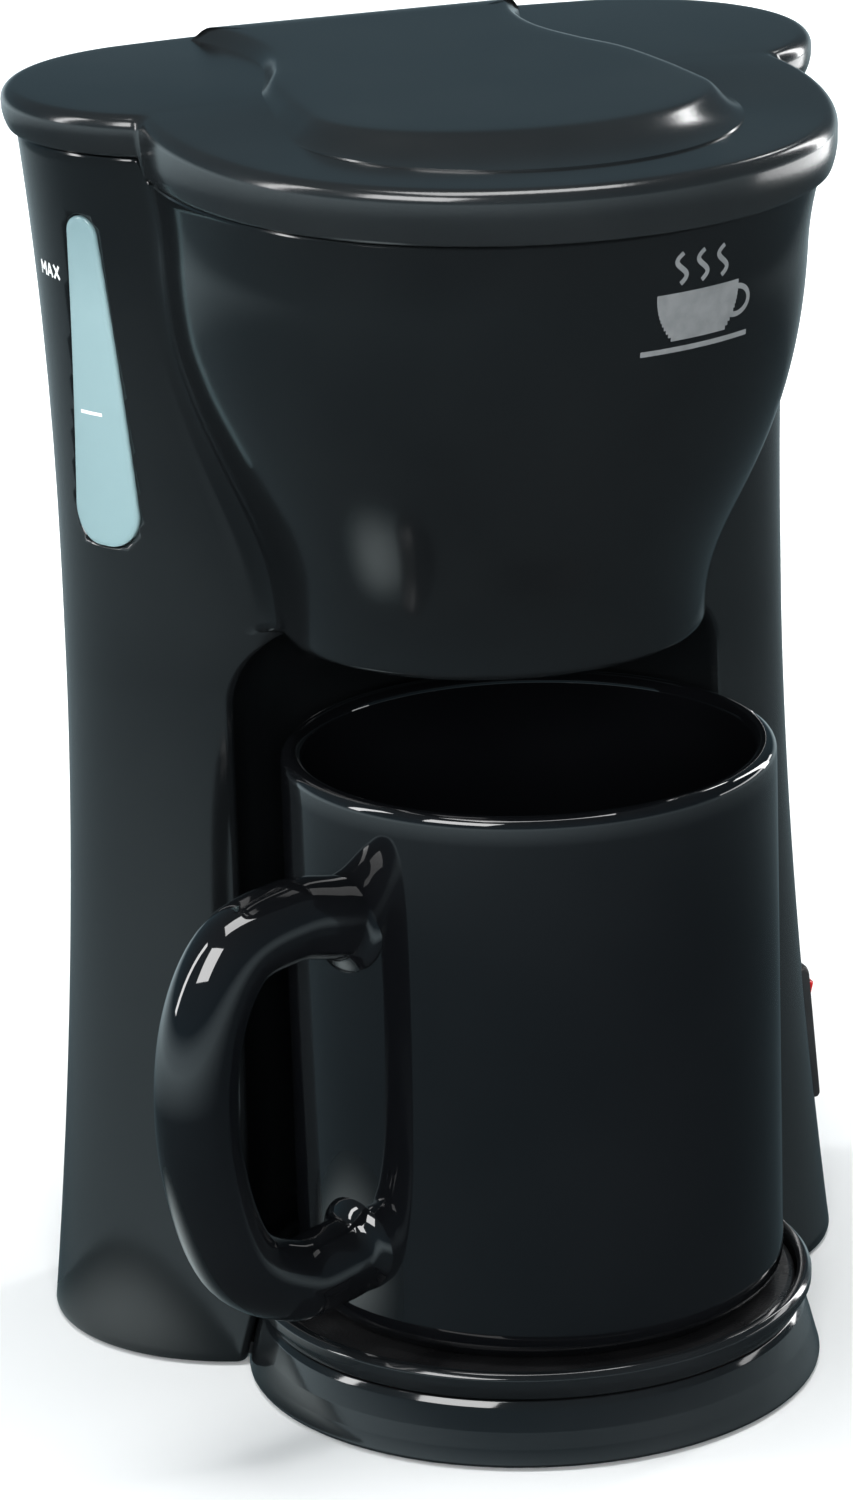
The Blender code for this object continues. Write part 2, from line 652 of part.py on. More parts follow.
BASKET_Y = 4.0


def make_filter():
    """Filter basket on its skirt, the mesh cone in it, its bail handle and the drip nozzle."""
    basket = [(43.4, 201.8), (43.4, 200.0), (41.6, 199.0), (22.0, 144.0), (19.6, 141.0), (19.6, 132.0),
              (17.8, 132.0), (17.8, 140.0), (3.0, 141.2), (3.0, 143.2), (20.4, 144.8), (40.0, 199.4),
              (40.2, 201.8)]
    turned("filter_basket", basket, ((0.03, 0.03, 0.03), 0.4), 32, place=(0.0, BASKET_Y, 0.0))
    mesh = [(39.2, 200.6), (38.9, 199.0), (19.4, 147.4), (2.0, 146.2), (2.0, 147.2), (18.7, 148.3),
            (38.0, 199.2), (38.2, 200.6)]
    turned("filter_mesh", mesh, ((0.70, 0.55, 0.22), 0.35, 0.9), 32, place=(0.0, BASKET_Y, 0.0))
    bend = [math.pi + math.pi * step / 16 for step in range(17)]
    bail = [(40.4 * math.cos(turn), BASKET_Y + 40.4 * math.sin(turn), 203.6) for turn in bend]
    solid_curve("basket_handle", bail, 1.3, ((0.03, 0.03, 0.03), 0.4))
    nozzle = [(9.0, 134.0), (9.0, 131.9), (5.0, 131.9), (4.6, 124.0), (2.2, 124.0), (2.2, 131.0),
              (4.0, 134.0)]
    turned("drip_nozzle", nozzle, ((0.04, 0.04, 0.04), 0.4), 24, place=(0.0, BASKET_Y, 0.0))


def make_outlet():
    """Riser tube behind the niche and the spout that brings hot water over the basket."""
    riser = rod_mesh("riser_tube", TUBE_R, (0.0, RISER_Y, 22.4), (0.0, RISER_Y, 202.6))
    add("riser_tube", riser, ((0.75, 0.75, 0.74), 0.4, 0.6))
    arm = [(0.0, RISER_Y, 202.9), (0.0, RISER_Y, 205.0), (0.0, RISER_Y - 0.8, 206.6),
           (0.0, RISER_Y - 2.6, 207.4), (0.0, 12.0, 207.4)]
    spout = solid_curve("outlet_spout", arm, 3.4, ((0.05, 0.05, 0.05), 0.35), 3)
    head = rod_mesh("spray_head", 13.0, (0.0, BASKET_Y, 204.9), (0.0, BASKET_Y, 210.2), 32)
    boolean(spout, add("spray_head", head), "UNION")
    hollow = rod_mesh("spray_hollow", 11.0, (0.0, BASKET_Y, 203.0), (0.0, BASKET_Y, 208.4), 32)
    boolean(spout, add("spray_hollow", hollow))
    return spout


# ---------------------------------------------------------------- heater and hoses

RUBBER_CLEAR = ((0.70, 0.70, 0.66), 0.4)
ALUMINIUM = ((0.72, 0.73, 0.74), 0.35, 0.9)


def u_path(radius, leg_x, leg_y):
    """Points of a U-shaped tube whose legs run back at x = +-leg_x."""
    start = math.pi - math.acos(leg_x / radius)
    sweep = math.tau - 2.0 * (start - math.pi / 2.0)
    arc = []
    for step in range(19):
        turn = start + sweep * step / 18
        arc.append((radius * math.cos(turn), radius * math.sin(turn), HEATER_Z))
    return [(-leg_x, leg_y, HEATER_Z), *arc, (leg_x, leg_y, HEATER_Z)]


def make_heater():
    """Water tube and sheathed element under the plate, with their bracket, screws and sensors."""
    solid_curve("heater_tube", u_path(HEATER_R, 17.0, 35.5), TUBE_R, ALUMINIUM)
    solid_curve("heating_element", u_path(17.0, 7.0, 30.0), 2.6, ((0.35, 0.33, 0.32), 0.45, 0.7))
    bracket = box_mesh("bracket", (-38.0, -16.0, 4.4), (38.0, -9.0, 5.2))
    bracket = add("heater_bracket", bracket, ((0.62, 0.63, 0.64), 0.4, 1.0))
    for number, side in enumerate((-1.0, 1.0), 1):
        spot = (side * 34.0, -12.5)
        hole = rod_mesh("bracket_hole", 1.6, (*spot, 3.0), (*spot, 7.0))
        boolean(bracket, add("bracket_hole", hole))
        screw = [(0.0, 12.8), (1.2, 12.8), (1.2, 4.1), (2.5, 4.1), (2.5, 3.5), (0.0, 3.5)]
        turned(f"heater_screw_{number}", screw, ((0.6, 0.6, 0.58), 0.35, 1.0), 16, False,
               place=(*spot, 0.0))
        terminal = rod_mesh("terminal", 1.3, (side * 7.0, 30.3, HEATER_Z), (side * 7.0, 36.0, HEATER_Z), 12)
        add(f"element_terminal_{number}", terminal, ((0.75, 0.72, 0.6), 0.35, 1.0))
        fuse = rod_mesh("fuse", 1.9, (side * 7.0, 37.0, HOSE_Z), (side * 7.0, 49.0, HOSE_Z), 12)
        add(f"thermal_fuse_{number}", fuse, ((0.8, 0.78, 0.7), 0.5))
    thermostat = [(0.0, 13.6), (8.0, 13.6), (8.0, 9.0), (6.0, 7.0), (0.0, 7.0)]
    turned("thermostat", thermostat, ((0.55, 0.5, 0.42), 0.5), 24, False)
    clip = box_mesh("clip", (-13.2, -3.0, 5.9), (13.2, 3.0, 6.6))
    add("thermostat_clip", clip, ((0.62, 0.63, 0.64), 0.35, 1.0))


def make_hoses():
    """Cold hoses and check valve on the right, hot hose to the riser on the left, and their clamps."""
    cold_y = RISER_Y + 2.0
    solid_curve("tank_hose", [(COLD_X, RISER_Y, 123.7), (COLD_X, RISER_Y, 110.0), (COLD_X, cold_y, 70.0),
                              (COLD_X, cold_y, 41.3)], HOSE_R, RUBBER_CLEAR)
    valve = [(0.0, 41.0), (3.4, 41.0), (3.4, 37.0), (5.2, 36.0), (5.2, 31.0), (3.4, 30.0), (3.4, 26.0),
             (0.0, 26.0)]
    turned("check_valve", valve, ((0.8, 0.8, 0.76), 0.35), 20, False, place=(COLD_X, cold_y, 0.0))
    inlet = smooth_path([(17.0, 35.9, HOSE_Z), (17.0, 46.0, HOSE_Z), (19.5, 54.5, 8.6), (23.0, 59.0, 13.5),
                         (COLD_X, cold_y, 19.5), (COLD_X, cold_y, 25.7)], 4)
    solid_curve("heater_inlet_hose", inlet, HOSE_R, RUBBER_CLEAR)
    outlet = smooth_path([(-17.0, 35.9, HOSE_Z), (-17.0, 46.0, HOSE_Z), (-11.5, 56.0, 7.0), (-3.0, 60.0, 10.5),
                          (0.0, RISER_Y, 16.5), (0.0, RISER_Y, 22.0)], 4)
    solid_curve("heater_outlet_hose", outlet, HOSE_R, RUBBER_CLEAR)
    for number, (y, z) in enumerate(((RISER_Y, 118.0), (cold_y, 44.5), (cold_y, 23.6)), 1):
        clamp = [(4.5, z + 1.3), (4.5, z - 1.3), (3.5, z - 1.3), (3.5, z + 1.3)]
        turned(f"hose_clamp_{number}", clamp, ((0.62, 0.63, 0.64), 0.35, 1.0), 16, place=(COLD_X, y, 0.0))


# ---------------------------------------------------------------- switch and wiring

switch_seat = empty("switch_seat", (LOBE_X + lobe_radius(SWITCH_Z), LOBE_Y, SWITCH_Z),
                    (0.0, -SWITCH_LEAN, 0.0), brew_axis)


def make_switch():
    """Rocker switch: bezel, red rocker on its pivot, and the body behind."""
    bezel = box_mesh("switch_bezel", (-5.5, -7.5, -12.75), (0.7, 7.5, 12.75))
    bezel = add("switch_bezel", bezel, ((0.015, 0.015, 0.016), 0.25), parent=switch_seat)
    edge = bezel.modifiers.new("edge", "BEVEL")
    edge.width = 0.7 * MM
    edge.segments = 2
    boolean(bezel, add("bezel_gap", box_mesh("bezel_gap", (-8.0, -5.6, -9.8), (4.0, 5.6, 9.8)),
                       parent=switch_seat))
    side = [(1.1, 9.2), (0.3, 4.5), (0.0, 0.0), (0.3, -4.5), (1.1, -9.2), (-2.0, -8.4), (-4.6, -4.0),
            (-4.6, 4.0), (-2.0, 8.4)]
    rocker = loft("switch_rocker", [[(x, y, z) for x, z in side] for y in (-5.2, 5.2)])
    rocker = add("switch_rocker", rocker, ((0.75, 0.03, 0.03), 0.2), parent=switch_seat,
                 turn=(0.0, ROCKER_REST, 0.0))
    edge = rocker.modifiers.new("edge", "BEVEL")
    edge.width = 0.35 * MM
    edge.segments = 1
    body = box_mesh("switch_body", (-19.0, -6.6, -10.4), (-5.9, 6.6, 10.4))
    add("switch_body", body, ((0.03, 0.03, 0.03), 0.5), parent=switch_seat)


def make_wiring():
    """Inlet gland in the back wall, terminal block and the leads between them and the switch."""
    gland = [(7.6, 2.6), (7.6, 0.2), (5.0, 0.2), (5.0, -9.0), (3.7, -9.0), (3.7, 2.6)]
    turned("inlet_gland", gland, ((0.03, 0.03, 0.03), 0.6), 24, place=(-20.0, 80.9, 17.0),
           turn=(-math.pi / 2.0, 0.0, 0.0))
    block = box_mesh("terminal_block", (-46.0, 56.0, 30.0), (-30.0, 66.0, 42.0))
    block = add("terminal_block", block, ((0.85, 0.84, 0.8), 0.5))
    lead_look = ((0.75, 0.74, 0.7), 0.5)
    routes = {
        "neutral_lead": [(-7.0, 50.2, HOSE_Z), (-6.8, 53.4, 8.8), (-8.5, 54.6, 14.0), (-20.0, 58.0, 18.5),
                         (-34.0, 61.0, 22.5), (-38.0, 61.0, 26.5), (-38.0, 61.0, 29.6)],
        "fuse_lead": [(7.0, 50.2, HOSE_Z), (7.4, 53.0, 7.0), (10.5, 61.0, 12.0), (13.0, 67.0, 22.0),
                      (30.0, 67.0, 30.0), (43.0, 58.0, 30.0), (46.0, 50.0, 30.5), (47.4, 49.0, 31.0)],
        "switch_lead": [(-34.0, 61.0, 42.4), (-33.5, 61.5, 46.0), (-26.0, 64.0, 54.0), (-8.0, 66.0, 58.0),
                        (12.0, 67.0, 55.0), (34.0, 63.0, 47.0), (44.0, 52.0, 42.0), (47.0, 46.5, 41.0)],
    }
    for name, points in routes.items():
        solid_curve(name, smooth_path(points, 3), 1.1, lead_look, 1)


# ---------------------------------------------------------------- mug

def make_mug():
    """Straight-sided mug with a rounded rim and foot, and a fat ear handle."""
    rim = [(MUG_R - MUG_WALL / 2.0 + MUG_WALL / 2.0 * math.cos(turn),
            MUG_TOP - MUG_WALL / 2.0 + MUG_WALL / 2.0 * math.sin(turn))
           for turn in (math.pi * 0.75, math.pi * 0.5, math.pi * 0.25, 0.0)]
    foot = [(MUG_R, MUG_BOTTOM + 4.0), (MUG_R - 1.2, MUG_BOTTOM + 1.2), (MUG_R - 3.2, MUG_BOTTOM),
            (MUG_R - 7.0, MUG_BOTTOM), (MUG_R - 8.0, MUG_BOTTOM + 1.6), (0.0, MUG_BOTTOM + 1.6)]
    inner_r = MUG_R - MUG_WALL
    inside = [(0.0, MUG_BOTTOM + 6.0), (inner_r - 6.0, MUG_BOTTOM + 6.0), (inner_r - 1.6, MUG_BOTTOM + 8.0),
              (inner_r, MUG_BOTTOM + 13.0), (inner_r, MUG_TOP - MUG_WALL / 2.0)]
    where = {"place": (MUG_X, MUG_Y, 0.0)}
    mug = turned("mug", inside + rim + foot, ((0.010, 0.010, 0.012), 0.06), FACETS, False, **where)
    ear = smooth_path([(MUG_R - 1.5, 0.0, 89.5), (52.0, 0.0, 92.5), (65.5, 0.0, 89.5), (72.6, 0.0, 76.5),
                       (73.3, 0.0, 57.5), (67.3, 0.0, 38.0), (56.0, 0.0, 30.0), (MUG_R - 1.5, 0.0, 31.5)], 4)
    handle = solid_curve("mug_handle_core", ear, HANDLE_R, None, 3, turn=(0.0, 0.0, HANDLE_ANGLE), **where)
    boolean(mug, handle, "UNION")
    return mug


make_main_housing()
make_foot()
make_plate_ring()
make_warming_plate()
make_plate_gasket()
make_base_cover()
make_feet_and_screws()
make_lid()
make_hinge_pin()
make_window()
make_tank()
make_filter()
make_outlet()
make_heater()
make_hoses()
make_switch()
make_wiring()
make_mug()
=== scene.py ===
"""Looks of the drip coffee maker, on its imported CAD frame.

Lengths are in millimetres about the brew axis, the upright line through the middle of the warming
plate, until MM turns them into metres: -Y is the front, and z = 0 is what the rubber feet stand on.
"""
import functools
import math

import bmesh
import bpy
from mathutils import Matrix, Vector


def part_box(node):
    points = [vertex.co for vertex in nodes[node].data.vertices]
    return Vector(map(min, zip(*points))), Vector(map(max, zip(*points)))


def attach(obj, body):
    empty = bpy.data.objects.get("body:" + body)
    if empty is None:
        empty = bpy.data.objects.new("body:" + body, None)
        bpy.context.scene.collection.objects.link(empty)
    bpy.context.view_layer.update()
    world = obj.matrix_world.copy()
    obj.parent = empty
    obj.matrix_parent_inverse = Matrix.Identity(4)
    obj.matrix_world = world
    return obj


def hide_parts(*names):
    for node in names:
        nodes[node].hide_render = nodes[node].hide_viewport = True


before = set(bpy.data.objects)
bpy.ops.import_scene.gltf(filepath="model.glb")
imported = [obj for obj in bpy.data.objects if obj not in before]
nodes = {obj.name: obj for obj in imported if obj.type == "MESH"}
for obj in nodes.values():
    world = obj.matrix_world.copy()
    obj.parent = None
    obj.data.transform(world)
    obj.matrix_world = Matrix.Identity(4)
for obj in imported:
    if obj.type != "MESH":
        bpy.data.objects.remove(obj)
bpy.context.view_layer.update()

MM = 0.001
plate_low, plate_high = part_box("warming_plate")
AXIS = Vector(((plate_low[0] + plate_high[0]) / 2.0, (plate_low[1] + plate_high[1]) / 2.0, 0.0))

# Plan of the column: the middle of the right lobe, which the left one mirrors, and of the bowed back.
LOBE = (38.0, 46.0)
BOW = (0.0, -241.5)
BOW_ANGLE = math.atan2(LOBE[1] - BOW[1], LOBE[0])
WALL = 2.2

# Lobes: the radius at their waist, the heights where the waist ends, and the flares below and above it.
WAIST_R, WAIST_LOW, WAIST_HIGH = 26.0, 120.0, 130.0
FOOT_FLARE, TOP_FLARE, TOP_SPAN = 7.28, 4.0, 82.0

# Funnel: an S from neck to shoulder, as Bezier heights and radii, then a wall up to the lid.
CONE_BOTTOM_Z, FRONT_TOP, LOBE_TOP = 129.0, 207.7, 211.3
SHOULDER_Z, SHOULDER_R, TOP_R, NECK_R = 195.0, 49.8, 51.6, 35.7
SHOULDER_SLOPE = 0.0486
S_HEIGHTS = (CONE_BOTTOM_Z, 150.0, 158.0, SHOULDER_Z)
S_RADII = (NECK_R, NECK_R, 48.0, SHOULDER_R)

# The funnel and the lid flare past their circles, from an angle on, measured from the right side: the
# flare reaches its size after a span, and meets the lobe before an end. It grows between two heights.
FLARE_FROM, FLARE_SPAN, FLARE_END = math.radians(-25.0), math.radians(46.0), math.radians(40.0)
FLARE_LOW_Z, FLARE_HIGH_Z = 138.0, 184.0

# Niche: its wall clears the foot, which tapers, then the ring, and rounds into the ceiling.
NICHE_R, NICHE_CORNER = 48.0, 13.0
FOOT_CLEAR_Z, FOOT_CLEAR_R, FOOT_TAPER = 11.35, 49.45, 0.27
RING_CLEAR_Z, RING_CLEAR_R = 17.4, 48.25

# Points in half an outline: front circle, bend, lobe and back, and one more in the middle of the back.
FRONT_POINTS, BEND_POINTS, LOBE_POINTS, BACK_POINTS = 44, 24, 44, 12

# Lid: the circles of its rim, the bend between them, the flare, and how far its front is squeezed across;
# its heights, its middle, and the rounding of its rim. Then where the hinge's axis is.
LID_R, LID_LOBE_R, LID_BEND, LID_FLARE, LID_SQUEEZE = 55.06, 32.3, 2.0, 5.3, 0.982
LID_LOW, LID_LOBE_RISE, LID_HIGH, LID_BACK_RISE = 208.2, 3.5, 217.3, 1.4
LID_MIDDLE = (0.0, 24.0)
CROWN = 2.4
HINGE_Y, HINGE_Z = 83.7, 209.6

# Mug: where it stands, its radii, and where its handle points.
MUG = (1.6, -0.3)
MUG_R, MUG_INSIDE_R, HANDLE_R = 41.5, 37.7, 6.9
HANDLE_ANGLE = math.radians(202.0)

# Level window: its place round the left lobe, and the height and radius of its two round ends.
WINDOW_ANGLE = math.radians(210.0)
WINDOW_ENDS = ((149.7, 6.5), (197.2, 3.6))
PRINT_PROUD = 0.05


# ---------------------------------------------------------------- helpers

def finish_mesh(name, shape, body, look, sharp=40.0):
    """Turn a bmesh in millimetres into a smooth-shaded object that rides on a body."""
    bmesh.ops.recalc_face_normals(shape, faces=shape.faces)
    bmesh.ops.scale(shape, vec=(MM, MM, MM), verts=shape.verts)
    bmesh.ops.translate(shape, vec=AXIS, verts=shape.verts)
    mesh = bpy.data.meshes.new(name)
    shape.to_mesh(mesh)
    shape.free()
    mesh.shade_smooth()
    mesh.set_sharp_from_angle(angle=math.radians(sharp))
    made = bpy.data.objects.new(name, mesh)
    bpy.context.scene.collection.objects.link(made)
    mesh.materials.append(look)
    if body:
        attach(made, body)
    return made


def skin(shape, rows, cap_first=False, cap_last=False, closed=True):
    """Faces between rows of points of equal count, with optional end caps."""
    laid = [[shape.verts.new(point) for point in row] for row in rows]
    for low, high in zip(laid, laid[1:]):
        count = len(low)
        for index in range(count if closed else count - 1):
            following = (index + 1) % count
            shape.faces.new((low[index], low[following], high[following], high[index]))
    if cap_first:
        shape.faces.new(list(reversed(laid[0])))
    if cap_last:
        shape.faces.new(laid[-1])
    return laid


def lathe(name, profile, body, look, centre=(0.0, 0.0), facets=160, sharp=40.0):
    """Spin a profile of (radius, height) points, whose ends lie on the axis or meet in a ring."""
    least = 0.02
    shape = bmesh.new()
    rows = []
    for radius, height in profile:
        radius = max(radius, least)
        rows.append([(centre[0] + radius * math.cos(math.tau * step / facets),
                      centre[1] + radius * math.sin(math.tau * step / facets), height)
                     for step in range(facets)])
    ring = profile[0][0] > least and profile[-1] == profile[0]
    skin(shape, rows, not ring, not ring)
    if ring:
        bmesh.ops.remove_doubles(shape, verts=shape.verts, dist=0.0001)
    return finish_mesh(name, shape, body, look, sharp)


def rounded(corners):
    """A profile of (a, b, radius) corners, with each corner drawn as a bend of its radius."""
    steps = 5
    found = []
    for index, (a, b, radius) in enumerate(corners):
        here = Vector((a, b))
        if radius <= 0.0 or index in (0, len(corners) - 1):
            found.append((a, b))
            continue
        before = Vector(corners[index - 1][:2])
        after = Vector(corners[index + 1][:2])
        back, ahead = (before - here).normalized(), (after - here).normalized()
        half = back.angle(ahead) / 2.0
        reach = min(radius / math.tan(half), (before - here).length * 0.49, (after - here).length * 0.49)
        start, end = here + back * reach, here + ahead * reach
        for step in range(steps + 1):
            t = step / steps
            found.append(tuple(start * (1 - t) ** 2 + here * 2 * t * (1 - t) + end * t * t))
    return found


def smooth_path(points, per_span):
    """Points on a Catmull-Rom curve through the given points, of any dimension."""
    ends = [Vector(points[0]) * 2.0 - Vector(points[1])]
    ends += [Vector(point) for point in points]
    ends.append(Vector(points[-1]) * 2.0 - Vector(points[-2]))
    found = []
    for before, start, end, after in zip(ends, ends[1:], ends[2:], ends[3:]):
        for step in range(per_span):
            t = step / per_span
            found.append(0.5 * (2.0 * start + (end - before) * t
                                + (2.0 * before - 5.0 * start + 4.0 * end - after) * t * t
                                + (3.0 * start - before - 3.0 * end + after) * t ** 3))
    found.append(ends[-2])
    return found


def bezier(values, t):
    """A cubic Bezier through its four control values."""
    a, b, c, d = values
    s = 1.0 - t
    return s ** 3 * a + 3.0 * s * s * t * b + 3.0 * s * t * t * c + t ** 3 * d


def bisect(low, high, before):
    """The number between low and high up to which before() is true."""
    for _ in range(40):
        middle = (low + high) / 2.0
        if before(middle):
            low = middle
        else:
            high = middle
    return low


def ease(low, high, value):
    """Smoothly from 0 at low to 1 at high."""
    t = min(max((value - low) / (high - low), 0.0), 1.0)
    return t * t * (3.0 - 2.0 * t)


def levels(low, high, count):
    """Evenly spaced numbers from low to high."""
    return [low + (high - low) * step / (count - 1) for step in range(count)]


def cut(target, tool):
    """Cut a tool out of a mesh now, and drop the tool."""
    step = target.modifiers.new("cut", "BOOLEAN")
    step.operation = "DIFFERENCE"
    step.solver = "EXACT"
    step.object = tool
    bpy.context.view_layer.update()
    reading = target.evaluated_get(bpy.context.evaluated_depsgraph_get())
    mesh = bpy.data.meshes.new_from_object(reading)
    target.modifiers.clear()
    target.data = mesh
    bpy.data.objects.remove(tool, do_unlink=True)


# ---------------------------------------------------------------- materials

def set_sockets(node, values):
    """Set a node's inputs, which are named in snake case, such as specular_ior_level."""
    for socket, value in values.items():
        node.inputs[socket.replace("_", " ").title().replace("Ior", "IOR")].default_value = value


def add_node(tree, kind, **values):
    """A new shader node with some of its inputs set."""
    node = tree.nodes.new(kind)
    set_sockets(node, values)
    return node


def look(name, low, high, rough, metal=0.0, grain=60.0, bump=0.0, bump_scale=400.0, spread=0.05, **sockets):
    """A Principled material whose colour, from low to high, roughness and relief vary with noise."""
    made = bpy.data.materials.new(name)
    made.use_nodes = True
    tree = made.node_tree
    shader = tree.nodes["Principled BSDF"]
    place = add_node(tree, "ShaderNodeTexCoord")
    cloud = add_node(tree, "ShaderNodeTexNoise", scale=grain, detail=5.0)
    tree.links.new(place.outputs["Object"], cloud.inputs["Vector"])
    ramp = add_node(tree, "ShaderNodeValToRGB")
    for stop, position, color in zip(ramp.color_ramp.elements, (0.35, 0.65), (low, high)):
        stop.position, stop.color = position, (*color, 1.0)
    tree.links.new(cloud.outputs["Fac"], ramp.inputs["Fac"])
    tree.links.new(ramp.outputs["Color"], shader.inputs["Base Color"])
    span = add_node(tree, "ShaderNodeMapRange", from_min=0.3, from_max=0.7,
                    to_min=max(rough - spread, 0.02), to_max=rough + spread)
    tree.links.new(cloud.outputs["Fac"], span.inputs["Value"])
    tree.links.new(span.outputs["Result"], shader.inputs["Roughness"])
    if bump:
        fine = add_node(tree, "ShaderNodeTexNoise", scale=bump_scale, detail=3.0)
        tree.links.new(place.outputs["Object"], fine.inputs["Vector"])
        relief = add_node(tree, "ShaderNodeBump", strength=bump, distance=0.0002)
        tree.links.new(fine.outputs["Fac"], relief.inputs["Height"])
        tree.links.new(relief.outputs["Normal"], shader.inputs["Normal"])
    set_sockets(shader, {"metallic": metal, **sockets})
    return made


HOUSING = look("housing_gloss", (0.0040, 0.0047, 0.0053), (0.0056, 0.0065, 0.0071), 0.13, grain=25.0,
               bump=0.008, bump_scale=900.0, spread=0.012, specular_ior_level=0.5)
TOP = look("lid_gloss", (0.0085, 0.0100, 0.0110), (0.0120, 0.0140, 0.0150), 0.17, grain=25.0,
           bump=0.05, bump_scale=1200.0, spread=0.02, specular_ior_level=0.5)
GLAZE = look("mug_glaze", (0.0026, 0.0029, 0.0036), (0.0042, 0.0045, 0.0053), 0.035, grain=18.0,
             bump=0.02, bump_scale=60.0, spread=0.01, specular_ior_level=0.55)
FOOT = look("foot_gloss", (0.0060, 0.0070, 0.0078), (0.0095, 0.0105, 0.0115), 0.09, grain=30.0,
            bump=0.02, bump_scale=700.0, spread=0.02, specular_ior_level=0.5)
CHAMBER = look("inner_black", (0.012, 0.013, 0.013), (0.020, 0.021, 0.021), 0.42, grain=120.0,
               bump=0.15, bump_scale=2500.0)
SATIN = look("satin_black", (0.016, 0.016, 0.017), (0.026, 0.026, 0.027), 0.38, grain=150.0,
             bump=0.2, bump_scale=2600.0)
PLATE = look("plate_coat", (0.012, 0.012, 0.013), (0.022, 0.022, 0.023), 0.30, metal=0.3, grain=90.0,
             bump=0.35, bump_scale=1800.0)
RUBBER = look("rubber", (0.018, 0.018, 0.018), (0.034, 0.033, 0.032), 0.72, grain=160.0, bump=0.4,
              bump_scale=2200.0)
SILICONE = look("red_silicone", (0.30, 0.075, 0.05), (0.40, 0.11, 0.08), 0.5, grain=140.0, bump=0.2)
STEEL = look("zinc_steel", (0.42, 0.43, 0.44), (0.62, 0.63, 0.63), 0.33, metal=1.0, grain=300.0,
             bump=0.2, bump_scale=1500.0)
ALLOY = look("cast_alloy", (0.50, 0.51, 0.52), (0.66, 0.67, 0.68), 0.42, metal=1.0, grain=220.0,
             bump=0.5, bump_scale=1600.0)
SHEATH = look("element_sheath", (0.16, 0.14, 0.13), (0.30, 0.26, 0.22), 0.45, metal=0.9, grain=110.0,
              bump=0.3)
BRASS = look("plated_brass", (0.55, 0.42, 0.19), (0.70, 0.56, 0.28), 0.3, metal=1.0, grain=260.0, bump=0.2)
TANK = look("smoked_tank", (0.10, 0.115, 0.12), (0.15, 0.165, 0.17), 0.16, grain=40.0, bump=0.05,
            transmission_weight=0.55, ior=1.49)
HOSE = look("milky_hose", (0.50, 0.50, 0.46), (0.62, 0.62, 0.57), 0.38, grain=160.0, bump=0.2)
WHITE = look("white_moulding", (0.66, 0.66, 0.61), (0.76, 0.76, 0.71), 0.42, grain=180.0, bump=0.2)
SLEEVE = look("glass_sleeve", (0.50, 0.48, 0.42), (0.66, 0.64, 0.58), 0.65, grain=900.0, bump=0.8,
              bump_scale=3500.0)
PRINT = look("grey_print", (0.125, 0.132, 0.136), (0.155, 0.162, 0.166), 0.35, grain=500.0, bump=0.1)
PALE_PRINT = look("white_print", (0.78, 0.80, 0.80), (0.88, 0.90, 0.90), 0.4, grain=500.0, bump=0.1)
RED = look("rocker_red", (0.62, 0.010, 0.012), (0.78, 0.020, 0.020), 0.14, grain=120.0, bump=0.04,
           transmission_weight=0.15, specular_ior_level=0.5)


def mesh_look():
    """Woven gold mesh: two crossed waves raise the wires."""
    made = look("gold_mesh", (0.45, 0.32, 0.10), (0.72, 0.55, 0.22), 0.3, metal=1.0, grain=300.0)
    tree = made.node_tree
    place = add_node(tree, "ShaderNodeTexCoord")
    cross = add_node(tree, "ShaderNodeMath")
    cross.operation = "MAXIMUM"
    for index, direction in enumerate(("X", "Z")):
        wave = add_node(tree, "ShaderNodeTexWave", scale=400.0, distortion=0.3)
        wave.bands_direction = direction
        tree.links.new(place.outputs["Object"], wave.inputs["Vector"])
        tree.links.new(wave.outputs["Fac"], cross.inputs[index])
    relief = add_node(tree, "ShaderNodeBump", strength=0.8, distance=0.0003)
    tree.links.new(cross.outputs["Value"], relief.inputs["Height"])
    tree.links.new(relief.outputs["Normal"], tree.nodes["Principled BSDF"].inputs["Normal"])
    return made


def window_look():
    """Frosted clear plastic, with painted shading down its length: palest over its upper half and darker at
    its top.
    """
    made = look("window_frost", (0.33, 0.40, 0.42), (0.37, 0.44, 0.46), 0.2, grain=30.0, bump=0.06,
                bump_scale=500.0, transmission_weight=0.12, ior=1.46)
    tree = made.node_tree
    shader = tree.nodes["Principled BSDF"]
    place = tree.nodes["Texture Coordinate"]
    # Painted shading: the pane's colour follows its height, palest about two thirds of the way up and darkest
    # at its top.
    split = add_node(tree, "ShaderNodeSeparateXYZ")
    tree.links.new(place.outputs["Object"], split.inputs["Vector"])
    rise = add_node(tree, "ShaderNodeMapRange", from_min=0.143, from_max=0.201)
    tree.links.new(split.outputs["Z"], rise.inputs["Value"])
    ramp = add_node(tree, "ShaderNodeValToRGB")
    stops = ramp.color_ramp.elements
    stops[0].position, stops[0].color = 0.0, (0.24, 0.37, 0.39, 1.0)
    stops[1].position, stops[1].color = 1.0, (0.17, 0.28, 0.30, 1.0)
    stops.new(0.7).color = (0.26, 0.39, 0.41, 1.0)
    tree.links.new(rise.outputs["Result"], ramp.inputs["Fac"])
    mix = add_node(tree, "ShaderNodeMix", factor=0.12)
    mix.data_type = "RGBA"
    tree.links.new(ramp.outputs["Color"], mix.inputs["A"])
    tree.links.new(tree.nodes["Color Ramp"].outputs["Color"], mix.inputs["B"])
    tree.links.new(mix.outputs["Result"], shader.inputs["Base Color"])
    return made


MESH = mesh_look()
WINDOW = window_look()


def numbered(stem, count):
    """The names of nodes that are numbered from 1."""
    return [f"{stem}_{index}" for index in range(1, count + 1)]


